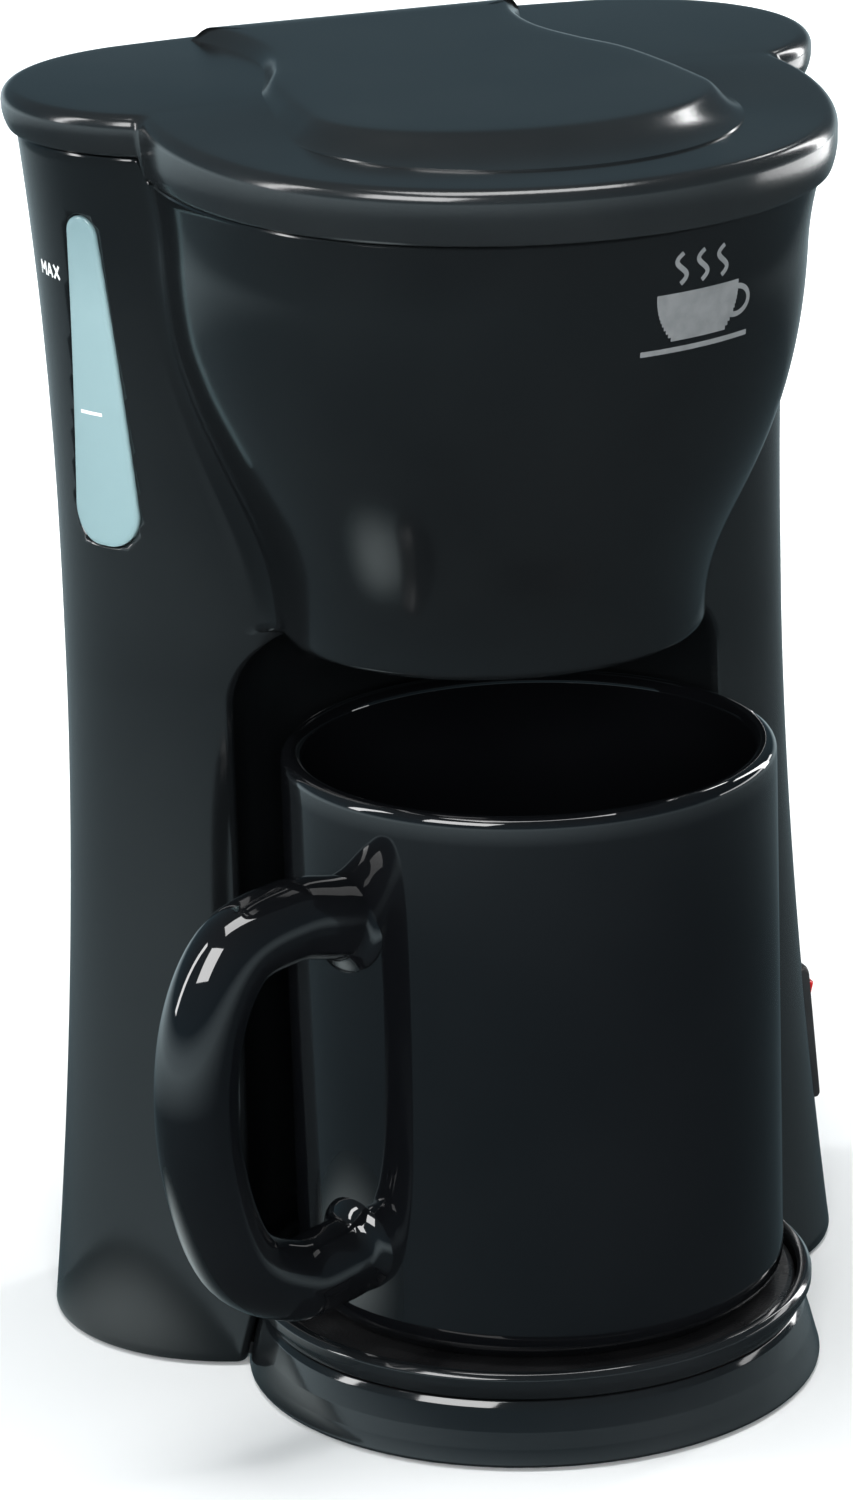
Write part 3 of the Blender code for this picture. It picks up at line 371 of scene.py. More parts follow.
# The finishes of the CAD nodes that stay as they are.
KEPT = {
    SATIN: ["base_cover", "switch_body", "drip_nozzle", "outlet_spout", "basket_handle", "filter_basket",
            "inlet_gland"],
    RUBBER: ["window_gasket", *numbered("rubber_foot", 4)],
    SILICONE: ["plate_gasket"],
    STEEL: [*numbered("base_screw", 4), *numbered("heater_screw", 2), *numbered("hose_clamp", 3),
            "lid_hinge_pin", "heater_bracket", "thermostat_clip"],
    ALLOY: ["heater_tube", "riser_tube"],
    SHEATH: ["heating_element"],
    BRASS: numbered("element_terminal", 2),
    TANK: ["water_tank"],
    MESH: ["filter_mesh"],
    HOSE: ["tank_hose", "heater_inlet_hose", "heater_outlet_hose"],
    WHITE: ["check_valve", "terminal_block", "thermostat"],
    SLEEVE: [*numbered("thermal_fuse", 2), "neutral_lead", "fuse_lead", "switch_lead"],
}


def dress_kept_nodes():
    """Give each CAD node that stays its own finish."""
    for finish, names in KEPT.items():
        for name in names:
            mesh = nodes[name].data
            mesh.materials.clear()
            mesh.materials.append(finish)


# ---------------------------------------------------------------- outlines of the housing and the lid

def lobe_radius(z):
    """Radius of the lobes, least at their waist."""
    if z < WAIST_LOW:
        return WAIST_R + FOOT_FLARE * ((WAIST_LOW - max(z, 0.0)) / WAIST_LOW) ** 1.8
    return WAIST_R + TOP_FLARE * (max(0.0, z - WAIST_HIGH) / TOP_SPAN) ** 2.2


@functools.lru_cache(maxsize=None)
def cone_radius(z):
    """Radius of the funnel: an S up to its shoulder, then a wall that bows out a little."""
    if z >= SHOULDER_Z:
        above, height = z - SHOULDER_Z, FRONT_TOP - SHOULDER_Z
        bow = TOP_R - SHOULDER_R - SHOULDER_SLOPE * height
        return SHOULDER_R + SHOULDER_SLOPE * above + bow * (above / height) ** 2
    return bezier(S_RADII, bisect(0.0, 1.0, lambda t: bezier(S_HEIGHTS, t) < z))


def cone_middle(radius):
    """Where the middle of the funnel's circle is: the narrower it is, the further back."""
    return (0.0, 0.7 * (52.0 - radius))


def niche_radius(z):
    """Radius of the mug's niche, wider at its foot and drawn in under its ceiling."""
    if z < FOOT_CLEAR_Z:
        return FOOT_CLEAR_R - FOOT_TAPER * (z - 1.0)
    if z < RING_CLEAR_Z:
        return RING_CLEAR_R
    rise = max(0.0, z - (CONE_BOTTOM_Z - NICHE_CORNER)) / NICHE_CORNER
    return NICHE_R - NICHE_CORNER * (1.0 - math.sqrt(max(0.0, 1.0 - rise * rise)))


def crossing(first, r1, second, r2):
    """The crossing of two circles that lies further to the front."""
    dx, dy = second[0] - first[0], second[1] - first[1]
    gap = math.hypot(dx, dy)
    a = (r1 * r1 - r2 * r2 + gap * gap) / (2.0 * gap)
    h = math.sqrt(max(r1 * r1 - a * a, 0.0))
    spots = [(first[0] + a * dx / gap + side * h * dy / gap, first[1] + a * dy / gap - side * h * dx / gap)
             for side in (1.0, -1.0)]
    return min(spots, key=lambda spot: spot[1])


def arc(centre, radius, start, end, count):
    """Points along an arc, without its end."""
    return [(centre[0] + radius * math.cos(start + (end - start) * step / count),
             centre[1] + radius * math.sin(start + (end - start) * step / count)) for step in range(count)]


def heading(start, end):
    """The angle of the line from one point to another."""
    return math.atan2(end[1] - start[1], end[0] - start[0])


def back_part(radius, start):
    """The outside of the right lobe from an angle round to the middle of the bowed back."""
    big = math.hypot(LOBE[0], LOBE[1] - BOW[1]) + radius
    round_lobe = arc(LOBE, radius, start, BOW_ANGLE, LOBE_POINTS)
    return round_lobe + arc(BOW, big, BOW_ANGLE, math.pi / 2.0, BACK_POINTS) + [(0.0, BOW[1] + big)]


def union_half(front, front_r, lobe_r, corner, flare, squeeze=1.0):
    """Right half of a front circle that flares towards its sides, and a lobe, with a small bend between."""
    def side(turn):
        reach = front_r + flare * max(0.0, (turn - FLARE_FROM) / FLARE_SPAN) ** 2
        return front[0] + squeeze * reach * math.cos(turn), front[1] + reach * math.sin(turn)

    last = bisect(FLARE_FROM, FLARE_END, lambda turn: math.dist(side(turn), LOBE) > lobe_r)
    meet = side(last)
    leave = last - corner / front_r
    start = heading(LOBE, meet) + corner / lobe_r
    begin = side(leave)
    end = (LOBE[0] + lobe_r * math.cos(start), LOBE[1] + lobe_r * math.sin(start))
    bend = []
    for step in range(BEND_POINTS):
        t = step / BEND_POINTS
        bend.append(tuple((1 - t) ** 2 * a + 2 * t * (1 - t) * b + t * t * c
                          for a, b, c in zip(begin, meet, end)))
    sweep = [side(turn) for turn in levels(-math.pi / 2.0, leave, FRONT_POINTS + 1)[:-1]]
    return sweep + bend + back_part(lobe_r, start)


def head_half(z, inset=0.0, draw_in=0.0):
    """Right half of the outline over the niche. draw_in narrows the funnel only."""
    radius = cone_radius(z)
    grown = ease(FLARE_LOW_Z, FLARE_HIGH_Z, z)
    bend, flare = 5.5 - 3.0 * grown, 6.0 * grown
    return union_half(cone_middle(radius), radius - inset - draw_in, lobe_radius(z) - inset, bend, flare)


# The funnel's bottom edge is drawn in by CONE_EASE. From where its outline reaches the lobe, the column's
# points line up with the head's.
CONE_EASE = 1.4
LOBE_START = head_half(CONE_BOTTOM_Z, 0.0, CONE_EASE)[FRONT_POINTS + BEND_POINTS]
LOBE_START_ANGLE = heading(LOBE, LOBE_START)


def column_half(z, inset=0.0, edge=1.7):
    """Right half of the column with the niche in its front, with a rounded edge between."""
    middle = (0.0, 0.0)
    radius, niche = lobe_radius(z) - inset, niche_radius(z) + inset
    hub = crossing(middle, niche + edge, LOBE, radius - edge)
    inner, outer = heading(middle, hub), heading(LOBE, hub)
    start = max(LOBE_START_ANGLE, outer + 0.04)
    half_bend = BEND_POINTS // 2
    return (arc(middle, niche, math.pi / 2.0, inner, FRONT_POINTS)
            + arc(hub, edge, inner - math.pi, outer, half_bend)
            + arc(LOBE, radius, outer, start, half_bend) + back_part(radius, start))


def whole(half, heights):
    """Both halves of an outline, with one height or a height for each point of the half."""
    if not isinstance(heights, list):
        heights = [heights] * len(half)
    right = [(x, y, z) for (x, y), z in zip(half, heights)]
    left = [(-x, y, z) for x, y, z in reversed(right[1:-1])]
    return right + left


def lift(row, rise):
    """A row raised by a rise."""
    return [(x, y, z + rise) for x, y, z in row]


def step_share(low, high):
    """For each point of half an outline, how far it has climbed from the front's height to the lobe's."""
    bend = [ease(low, high, step / BEND_POINTS) for step in range(BEND_POINTS)]
    return [0.0] * FRONT_POINTS + bend + [1.0] * (LOBE_POINTS + BACK_POINTS + 1)


HEAD_SHARE = step_share(0.35, 0.75)


def head_row(t, inset=0.0):
    """A row of the head at a share of its height, where the lobes end higher than the front."""
    base = CONE_BOTTOM_Z + 2.0
    low, high = base + (FRONT_TOP - base) * t, base + (LOBE_TOP - base) * t
    front, back = head_half(low, inset), head_half(high, inset)
    half = [(a[0] + (b[0] - a[0]) * share, a[1] + (b[1] - a[1]) * share)
            for a, b, share in zip(front, back, HEAD_SHARE)]
    return whole(half, [low + (high - low) * share for share in HEAD_SHARE])


# ---------------------------------------------------------------- housing

def make_housing():
    """Column and funnel in one moulded skin, open at the top: round its bottom edge, up and down inside."""
    rows = [whole(column_half(z, inset), z) for z, inset in
            ((3.2, WALL), (1.2, WALL), (0.6, WALL - 0.4), (0.6, 0.5), (0.75, 0.15))]
    beside_foot = [1.1, 2.4, 4.4, 6.4, 8.4, 10.2, 11.3, 11.4, 12.6, 14.8, 17.1]
    turns = [math.pi / 2.0 * step / 22 for step in range(1, 22)]
    under_ceiling = [CONE_BOTTOM_Z - NICHE_CORNER * (1.0 - math.sin(turn)) for turn in turns]
    rows += [whole(column_half(z), z) for z in beside_foot + levels(17.5, 114.0, 34) + under_ceiling]
    rows += [whole(head_half(CONE_BOTTOM_Z + rise, draw_in=draw), CONE_BOTTOM_Z + rise)
             for rise, draw in ((0.0, CONE_EASE), (0.12, 0.8), (0.42, 0.35), (0.9, 0.1), (1.4, 0.0))]
    rows += [head_row(t) for t in levels(0.0, 0.992, 60)]
    rows += [lift(head_row(1.0, inset), -drop) for inset, drop in
             ((0.0, 0.5), (0.15, 0.15), (0.5, 0.0), (1.7, 0.0), (2.05, 0.15), (2.2, 0.5))]
    rows += [head_row(t, WALL) for t in levels(0.985, 0.02, 24)]
    shape = bmesh.new()
    skin(shape, rows, True, True)
    made = finish_mesh("housing_skin", shape, None, HOUSING, 42.0)
    cut(made, window_cutter())
    cut(made, switch_cutter())
    blacken_chamber(made.data)
    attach(made, "body")
    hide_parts("main_housing")


def blacken_chamber(mesh):
    """Give the floor and the walls inside the head the duller inner finish."""
    floor_low, floor_high, wall_low = 131.5, 200.0, 135.0
    mesh.materials.append(CHAMBER)
    for face in mesh.polygons:
        centre, normal = (face.center - AXIS) / MM, face.normal
        near = min(math.hypot(centre.x - side * LOBE[0], centre.y - LOBE[1]) for side in (-1.0, 1.0))
        on_floor = floor_low < centre.z < floor_high and normal.z > 0.9
        on_wall = centre.z > wall_low and near < lobe_radius(centre.z) - 1.2 and abs(normal.z) < 0.5
        if on_floor or on_wall:
            face.material_index = 1


def make_seams():
    """The funnel's two side edges: a narrow crest that widens into a facet under the lid."""
    shape = bmesh.new()
    for side in (-1.0, 1.0):
        rows = []
        for z in levels(133.5, FRONT_TOP - 0.1, 60):
            outline = head_half(z)
            foot = Vector(outline[FRONT_POINTS])
            along = (foot - Vector(outline[FRONT_POINTS - 1])).normalized()
            out = Vector((along.y, -along.x))
            wide = 0.7 + 1.8 * ease(180.0, 206.0, z)
            proud = 0.45 * ease(132.0, 160.0, z)
            # (along the wall, out of the wall), from just under the funnel's side to the lobe's
            section = [(-0.65, -0.3), (-0.6, 0.02), (-0.28, proud * 0.85), (0.0, proud * 1.05),
                       (0.3, proud), (wide * 0.5, proud * 0.75), (wide, 0.1), (wide + 0.2, -0.3)]
            points = [foot + along * ahead + out * rise for ahead, rise in section]
            rows.append([(side * point.x, point.y, z) for point in points])
        skin(shape, rows, True, True)
    made = finish_mesh("funnel_seams", shape, "body", HOUSING, 60.0)


# ---------------------------------------------------------------- level window

def window_sides(inset):
    """Half widths of the window at rising heights: a tapered bar with round ends, flat at the bottom."""
    (low_z, low_r), (high_z, high_r) = WINDOW_ENDS
    low_r, high_r = low_r - inset, high_r - inset
    flat = 1.0
    turns = [math.pi / 2.0 * step / 12 for step in range(13)]
    sides = [(flat + low_r * math.sin(turn), low_z - low_r * math.cos(turn)) for turn in turns]
    sides += [(flat + low_r + (high_r - low_r - flat) * share, low_z + (high_z - low_z) * share)
              for share in levels(0.0, 1.0, 14)[1:-1]]
    return sides + [(max(high_r * math.cos(turn), 0.12), high_z + high_r * math.sin(turn)) for turn in turns]


def window_outline(inset):
    """The window's outline as (across, height) points, up one side and down the other."""
    sides = window_sides(inset)
    return sides + [(-half, z) for half, z in reversed(sides)]


def on_lobe(u, z, proud):
    """A point on the left lobe, across from the window's middle and proud of the wall."""
    radius = lobe_radius(z)
    turn = WINDOW_ANGLE + u / radius
    return (-LOBE[0] + (radius + proud) * math.cos(turn), LOBE[1] + (radius + proud) * math.sin(turn), z)


def window_cutter():
    """What the window's opening takes out of the wall."""
    shape = bmesh.new()
    rows = [[on_lobe(u, z, proud) for u, z in window_outline(0.0)] for proud in (-6.0, 6.0)]
    skin(shape, rows, True, True)
    return finish_mesh("window_cutter", shape, None, HOUSING)


def make_window():
    """Frosted level window that follows the lobe: its edge in steps of (inset, proud), and its face."""
    steps = [(0.35, -1.6), (0.3, -0.1), (0.38, 0.14), (0.55, 0.27), (0.9, 0.36), (1.4, 0.38)]
    face_inset, face_proud = steps[-1]
    shape = bmesh.new()
    rows = [[on_lobe(u, z, proud) for u, z in window_outline(inset)] for inset, proud in steps]
    rim = skin(shape, rows, True)[-1]
    before = None
    for index, (half, z) in enumerate(window_sides(face_inset)):
        across = [shape.verts.new(on_lobe(half * share, z, face_proud))
                  for share in levels(1.0, -1.0, 7)[1:-1]]
        across = [rim[index], *across, rim[-1 - index]]
        if before:
            for near, far, ahead, behind in zip(before, before[1:], across[1:], across):
                shape.faces.new((near, far, ahead, behind))
        before = across
    bmesh.ops.holes_fill(shape, edges=shape.edges)
    made = finish_mesh("window_pane", shape, "body", WINDOW)
    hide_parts("level_window")


# ---------------------------------------------------------------- lid

LID_SHARE = step_share(0.45, 0.8)


def lid_row(share, inset, above=0.0):
    """A row of the lid's rim at a share of its height: its lobes hang higher than its front."""
    half = union_half((0.0, 0.0), LID_R - inset, LID_LOBE_R - inset, LID_BEND, LID_FLARE, LID_SQUEEZE)
    heights = []
    for (_, y), back in zip(half, LID_SHARE):
        low = LID_LOW + LID_LOBE_RISE * back
        high = LID_HIGH + LID_BACK_RISE * ease(-30.0, LID_MIDDLE[1], y)
        heights.append(low + (high - low) * share + above)
    return whole(half, heights)


def shrink(row, share, rise):
    """A row drawn towards the middle of the lid and raised."""
    mid_x, mid_y = LID_MIDDLE
    return [(mid_x + (x - mid_x) * share, mid_y + (y - mid_y) * share, z + rise) for x, y, z in row]


def make_lid():
    """Lid with a hollow underside, a rounded rim and a shallow dome, in steps of (share, inset, above)."""
    under = [(1.0, 7.0, -2.6), (1.0, 5.0, -2.8), (1.0, 4.4, -3.4), (0.12, 4.2, 0.0), (0.02, 3.8, 0.0)]
    rim = [(0.0, 3.3), (0.0, 1.5), (0.03, 1.05), (0.10, 0.75), (0.25, 0.35), (0.42, 0.08)]
    rows = [lid_row(*step) for step in under + rim]
    crown = [math.pi / 2.0 * step / 9 for step in range(10)]
    rows += [lid_row(1.0, CROWN * (1.0 - math.cos(turn)), CROWN * (math.sin(turn) - 1.0)) for turn in crown]
    top = lid_row(1.0, CROWN)
    rows += [shrink(top, share, 0.5 * (1.0 - share * share)) for share in levels(0.97, 0.03, 26)]
    shape = bmesh.new()
    skin(shape, rows, True, True)
    for side in (-1.0, 1.0):
        web_block(shape, side * 12.0, 4.7, (79.0, 210.2), (82.6, 212.6))
        knuckle(shape, side * 7.0, side * 17.0)
    add_plateau(shape)
    made = finish_mesh("lid_skin", shape, "lid", TOP, 42.0)
    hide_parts("lid")


def plateau_outline(side_in, front_in):
    """Outline of the raised tongue: a waisted strip from the back edge to a round front."""
    half_wide, front_y, back_y = 37.4, -4.5, 76.0
    sides = [(half_wide, front_y), (37.0, 4.0), (36.4, 12.0), (34.6, 25.0), (31.0, 35.0), (28.2, 45.0),
             (27.3, 54.0), (28.3, 64.0), (31.5, 75.5)]
    right = [(x - side_in, min(y, back_y - side_in)) for x, y in smooth_path(sides, 6)]
    turns = [math.pi * step / 40 for step in range(1, 40)]
    radius = half_wide - side_in
    deep = 38.0 - side_in - front_in
    front = [(-radius * math.cos(turn), front_y - deep * math.sin(turn)) for turn in turns]
    return right + [(-x, y) for x, y in reversed(right)] + front


def add_plateau(shape):
    """The raised tongue, with a scooped front slope, in steps of (side inset, front inset, height)."""
    steps = [(-0.3, -0.3, 216.8), (0.0, 0.0, 217.75), (0.5, 2.2, 217.95), (1.1, 4.8, 218.35),
             (1.8, 7.2, 218.95), (2.5, 9.4, 219.7), (3.2, 11.4, 220.5), (3.9, 12.9, 221.05),
             (4.3, 13.5, 221.2), (5.2, 14.6, 221.26), (8.0, 17.0, 221.28)]
    rows = [[(x, y, z) for x, y in plateau_outline(side_in, front_in - side_in)]
            for side_in, front_in, z in steps]
    skin(shape, rows, False, True)


def knuckle(shape, start, end):
    """A hinge knuckle along X, with eased edges and a bore for the pin."""
    low, high = min(start, end), max(start, end)
    bore, eased, outside, edge, facets = 1.8, 2.9, 3.2, 0.3, 40
    profile = [(low, bore), (low, eased), (low + edge, outside), (high - edge, outside), (high, eased),
               (high, bore)]
    rows = [[(x, HINGE_Y + radius * math.cos(math.tau * step / facets),
              HINGE_Z + radius * math.sin(math.tau * step / facets)) for step in range(facets)]
            for x, radius in profile]
    laid = skin(shape, rows)
    for index in range(facets):
        following = (index + 1) % facets
        shape.faces.new((laid[-1][index], laid[-1][following], laid[0][following], laid[0][index]))


def web_block(shape, centre, half, low, high):
    """A block with eased edges behind a knuckle, between two (y, z) corners."""
    added = bmesh.ops.create_cube(shape, size=1.0)["verts"]
    bmesh.ops.scale(shape, vec=(2.0 * half, high[0] - low[0], high[1] - low[1]), verts=added)
    middle = (centre, (high[0] + low[0]) / 2.0, (high[1] + low[1]) / 2.0)
    bmesh.ops.translate(shape, vec=middle, verts=added)
    edges = list(dict.fromkeys(edge for vert in added for edge in vert.link_edges))
    bmesh.ops.bevel(shape, geom=edges, offset=0.5, segments=3, profile=0.5, affect="EDGES")


def make_hinge_lug():
    """The housing's knuckle on its lug."""
    shape = bmesh.new()
    web_block(shape, 0.0, 6.2, (75.9, 197.5), (HINGE_Y, 208.8))
    knuckle(shape, -6.5, 6.5)
    made = finish_mesh("hinge_lug", shape, "body", HOUSING)


# ---------------------------------------------------------------- foot, ring, plate and mug

def make_foot():
    """Round foot, its ring and the warming plate, each from a profile of (radius, height, bend) corners."""
    profile = rounded([(45.0, 11.2, 0), (45.9, 11.3, 0.4), (46.6, 10.2, 0.8), (47.7, 6.4, 3.0),
                       (48.4, 3.6, 2.0), (49.1, 1.0, 0.5), (48.8, 0.6, 0.2), (47.4, 0.6, 0.3),
                       (46.4, 3.4, 0.5), (44.0, 8.6, 0.5), (43.0, 9.4, 0.3), (43.0, 11.2, 0.2),
                       (45.0, 11.2, 0)])
    foot = lathe("foot_skin", profile, "body", FOOT, sharp=50.0)
    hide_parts("foot_housing")
    profile = rounded([(46.2, 16.6, 0), (47.1, 16.6, 0.6), (47.85, 15.8, 0.6), (47.8, 14.3, 0.8),
                       (46.9, 12.8, 0.8), (46.3, 11.8, 0.2), (45.4, 11.8, 0.2), (45.4, 16.1, 0.3),
                       (45.8, 16.6, 0.3), (46.2, 16.6, 0)])
    ring = lathe("ring_skin", profile, "body", FOOT, sharp=50.0)
    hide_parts("plate_ring")
    profile = rounded([(0.0, 14.9, 0), (30.0, 14.9, 1.0), (30.6, 15.15, 1.0), (43.9, 15.2, 0.5),
                       (44.95, 14.9, 0.5), (44.95, 12.95, 0.1), (43.95, 12.95, 0.1), (43.95, 14.0, 0.1),
                       (0.0, 14.0, 0)])
    plate = lathe("plate_skin", profile, "body", PLATE)
    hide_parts("warming_plate")


def make_mug():
    """The mug's glazed body, with a rolled rim and a foot ring."""
    lip = (MUG_R - MUG_INSIDE_R) / 2.0
    rim_low = 108.9
    rim = [(MUG_R - lip + lip * math.cos(turn), rim_low + lip * math.sin(turn))
           for turn in levels(0.0, math.pi, 13)]
    inside = rounded([(0.0, 21.5, 0), (33.0, 21.5, 6.0), (MUG_INSIDE_R, 27.0, 6.0), (MUG_INSIDE_R, 100.0, 0)])
    outside = rounded([(MUG_R, 100.0, 0), (MUG_R, 21.0, 0.5), (41.2, 18.2, 2.5), (39.0, 15.9, 2.0),
                       (36.5, 15.5, 0.5), (33.8, 15.6, 0.5), (33.0, 17.1, 0.6), (0.0, 17.3, 0)])
    up_inside = [(MUG_INSIDE_R, z) for z in levels(34.0, 106.0, 8)]
    down_outside = [(MUG_R, z) for z in levels(106.0, 30.0, 8)]
    profile = inside[:-1] + up_inside + list(reversed(rim)) + down_outside + outside[1:]
    mug = lathe("mug_body", profile, "mug", GLAZE, MUG, 192, 50.0)
    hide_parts("mug")


def make_handle():
    """The mug's fat ear handle, which flares into the wall at both ends."""
    path = smooth_path([(39.8, 0.0, 89.6), (45.0, 0.0, 91.0), (54.0, 0.0, 92.3), (65.5, 0.0, 89.3),
                        (72.4, 0.0, 76.5), (73.3, 0.0, 57.5), (67.5, 0.0, 38.2), (56.0, 0.0, 30.2),
                        (46.5, 0.0, 30.2), (39.8, 0.0, 31.4)], 10)
    last, facets = len(path) - 1, 40
    across = Vector((0.0, 1.0, 0.0))
    rows = []
    for index, point in enumerate(path):
        ahead = (path[min(index + 1, last)] - path[max(index - 1, 0)]).normalized()
        out = Vector((-ahead.z, 0.0, ahead.x))
        share = min(index, last - index) / last
        radius = HANDLE_R + 2.2 * (1.0 - ease(0.0, 0.07, share)) ** 2
        rows.append([point + out * radius * math.cos(math.tau * step / facets)
                     + across * radius * math.sin(math.tau * step / facets) for step in range(facets)])
    shape = bmesh.new()
    skin(shape, rows, True, True)
    aside = Matrix.Rotation(HANDLE_ANGLE, 3, "Z")
    bmesh.ops.rotate(shape, cent=(0.0, 0.0, 0.0), matrix=aside, verts=shape.verts)
    bmesh.ops.translate(shape, vec=(*MUG, 0.0), verts=shape.verts)
    handle = finish_mesh("mug_handle", shape, "mug", GLAZE, 60.0)
    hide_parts("mug")


# ---------------------------------------------------------------- switch

# The switch faces out of the right lobe, where the wall leans back, and the rocker is tipped in it.
SWITCH_Z = 35.2
SEAT = (Matrix.Translation((LOBE[0] + lobe_radius(SWITCH_Z), LOBE[1], SWITCH_Z))
        @ Matrix.Rotation(math.radians(-4.5), 4, "Y"))
ROCKER = SEAT @ Matrix.Rotation(math.radians(8.0), 4, "Y")


def switch_cutter():
    """What the switch's opening takes out of the wall: a box about its seat."""
    low, high = Vector((-10.0, -7.6, -12.85)), Vector((8.0, 7.6, 12.85))
    shape = bmesh.new()
    bmesh.ops.create_cube(shape, size=1.0)
    bmesh.ops.scale(shape, vec=high - low, verts=shape.verts)
    bmesh.ops.translate(shape, vec=(low + high) / 2.0, verts=shape.verts)
    bmesh.ops.transform(shape, matrix=SEAT, verts=shape.verts)
    return finish_mesh("switch_cutter", shape, None, HOUSING)


def plate_loop(half_y, half_z, corner, x):
    """A rounded rectangle in the plane of the switch."""
    loop = []
    for quarter, (sy, sz) in enumerate(((1, 1), (-1, 1), (-1, -1), (1, -1))):
        for step in range(7):
            turn = math.pi / 2.0 * (quarter + step / 6)
            loop.append(Vector((x, sy * (half_y - corner) + corner * math.cos(turn),
                                sz * (half_z - corner) + corner * math.sin(turn))))
    return loop


def make_bezel():
    """The switch's bezel, with a stepped, rounded rim."""
    steps = [(7.4, 12.6, 1.2, -5.4), (7.45, 12.7, 1.3, -0.6), (7.4, 12.65, 1.3, 0.2), (7.15, 12.4, 1.2, 0.6),
             (6.6, 11.9, 1.0, 0.68), (6.1, 10.6, 0.8, 0.5), (5.75, 10.0, 0.6, 0.0), (5.65, 9.9, 0.5, -5.0)]
    shape = bmesh.new()
    skin(shape, [[SEAT @ point for point in plate_loop(*step)] for step in steps], True, True)
    bezel = finish_mesh("bezel_skin", shape, "body", SATIN)
    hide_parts("switch_bezel")


def make_rocker():
    """The dished red rocker: its side outline of (x, z) points, drawn in a little at both ends."""
    dish = smooth_path([(0.95, 8.9), (0.45, 6.0), (0.1, 3.0), (0.0, 0.0), (0.1, -3.0), (0.45, -6.0),
                        (0.95, -8.9)], 4)
    outline = [(0.2, 9.15), *dish, (0.2, -9.15), (-1.8, -8.2), (-4.2, -4.0), (-4.2, 4.0), (-1.8, 8.2)]
    ends = ((-5.1, 0.35), (-4.95, 0.12), (-4.6, 0.0), (4.6, 0.0), (4.95, 0.12), (5.1, 0.35))
    rows = [[ROCKER @ Vector((x - draw, y, z * (1.0 - draw * 0.02))) for x, z in outline] for y, draw in ends]
    shape = bmesh.new()
    skin(shape, rows, True, True)
    rocker = finish_mesh("rocker_skin", shape, "rocker", RED)
    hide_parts("switch_rocker")


def make_rocker_marks():
    """The rocker's plain bar and ring, let into its face."""
    away, low, high = 5.2, 0.1, 0.62
    shape = bmesh.new()
    bar = ((-0.25, -1.5), (0.25, -1.5), (0.25, 1.5), (-0.25, 1.5))
    skin(shape, [[ROCKER @ Vector((x, y, away + z)) for y, z in bar] for x in (low, high)], True, True)
    turns = [math.tau * step / 32 for step in range(32)]
    skin(shape, [[ROCKER @ Vector((x, r * math.cos(turn), -away + r * math.sin(turn))) for turn in turns]
                 for x, r in ((low, 1.0), (high, 1.0), (high, 1.5), (low, 1.5))])
    marks = finish_mesh("rocker_marks", shape, "rocker", PALE_PRINT)


# ---------------------------------------------------------------- printed marks

def stroke(points, width):
    """The two sides of a stroke along points."""
    near, far = [], []
    for index, point in enumerate(points):
        before, after = points[max(index - 1, 0)], points[min(index + 1, len(points) - 1)]
        ahead = (Vector(after) - Vector(before)).normalized()
        side = Vector((-ahead.y, ahead.x)) * width / 2.0
        near.append(tuple(Vector(point) + side))
        far.append(tuple(Vector(point) - side))
    return near, far


def ribbon(name, strokes, place, finish):
    """Printed strokes, each of (points, width), laid on a surface of the body."""
    shape = bmesh.new()
    for points, width in strokes:
        near, far = stroke(points, width)
        skin(shape, [[place(u, v) for u, v in near], [place(u, v) for u, v in far]], closed=False)
    made = finish_mesh(name, shape, "body", finish)


def on_cone(u, v):
    """A point on the funnel, across and above the middle of the cup, just proud of the wall."""
    z = 196.0 + v
    radius = cone_radius(z)
    turn = math.radians(-71.0) + u / radius
    proud = radius + PRINT_PROUD
    return (proud * math.cos(turn), cone_middle(radius)[1] + proud * math.sin(turn), z)


def make_cup_mark():
    """A plain cup with three wisps of steam, a handle and a saucer line."""
    strokes = []
    for offset in (-4.2, 0.0, 4.2):
        wisp = [(offset + 1.05 * math.sin(t * math.tau), 2.4 + 5.2 * t) for t in levels(0.0, 1.0, 17)]
        strokes.append((wisp, 0.85))
    for level in levels(0.0, 1.0, 12):
        half = 8.4 - 2.8 * level ** 2.2
        strokes.append(([(x, 0.6 - 7.2 * level) for x in levels(-half, half, 9)], 0.7))
    reach = math.radians(118.0)
    handle = [(7.9 + 3.1 * math.cos(t), -2.5 + 2.3 * math.sin(t)) for t in levels(reach, -reach, 21)]
    saucer = [(x, -8.4) for x in levels(-11.0, 11.0, 15)]
    strokes += [(handle, 0.9), (saucer, 0.9)]
    ribbon("cup_mark", strokes, on_cone, PRINT)


def make_fill_marks():
    """A tick on the window, and a plain MAX beside its top."""
    tick_z = 166.5
    ticks = [([(-3.4, tick_z), (-1.0, tick_z), (1.5, tick_z)], 0.6)]
    ribbon("level_tick", ticks, lambda u, v: on_lobe(u, v, 0.45), PALE_PRINT)
    base, tall, line_width = 188.4, 2.3, 0.52
    letters = {
        -13.4: [[(0.0, 0.0), (0.0, tall), (0.95, 0.8), (1.9, tall), (1.9, 0.0)]],
        -10.9: [[(0.0, 0.0), (0.9, tall), (1.8, 0.0)], [(0.4, 0.75), (1.4, 0.75)]],
        -8.5: [[(0.0, 0.0), (1.7, tall)], [(0.0, tall), (1.7, 0.0)]],
    }
    strokes = []
    for shift, lines in letters.items():
        for line in lines:
            placed = [(shift + u, base + v) for u, v in line]
            strokes += [([start, end], line_width) for start, end in zip(placed, placed[1:])]
    ribbon("max_mark", strokes, lambda u, v: on_lobe(u, v, PRINT_PROUD), PALE_PRINT)


# ---------------------------------------------------------------- stage, camera and light

# A glowing disc just under the floor that only the gloss sees, a painted reflection of bright floor: its
# middle and its radius.
SHEEN, SHEEN_R = (-100.0, 24.0, -1.0), 52.0


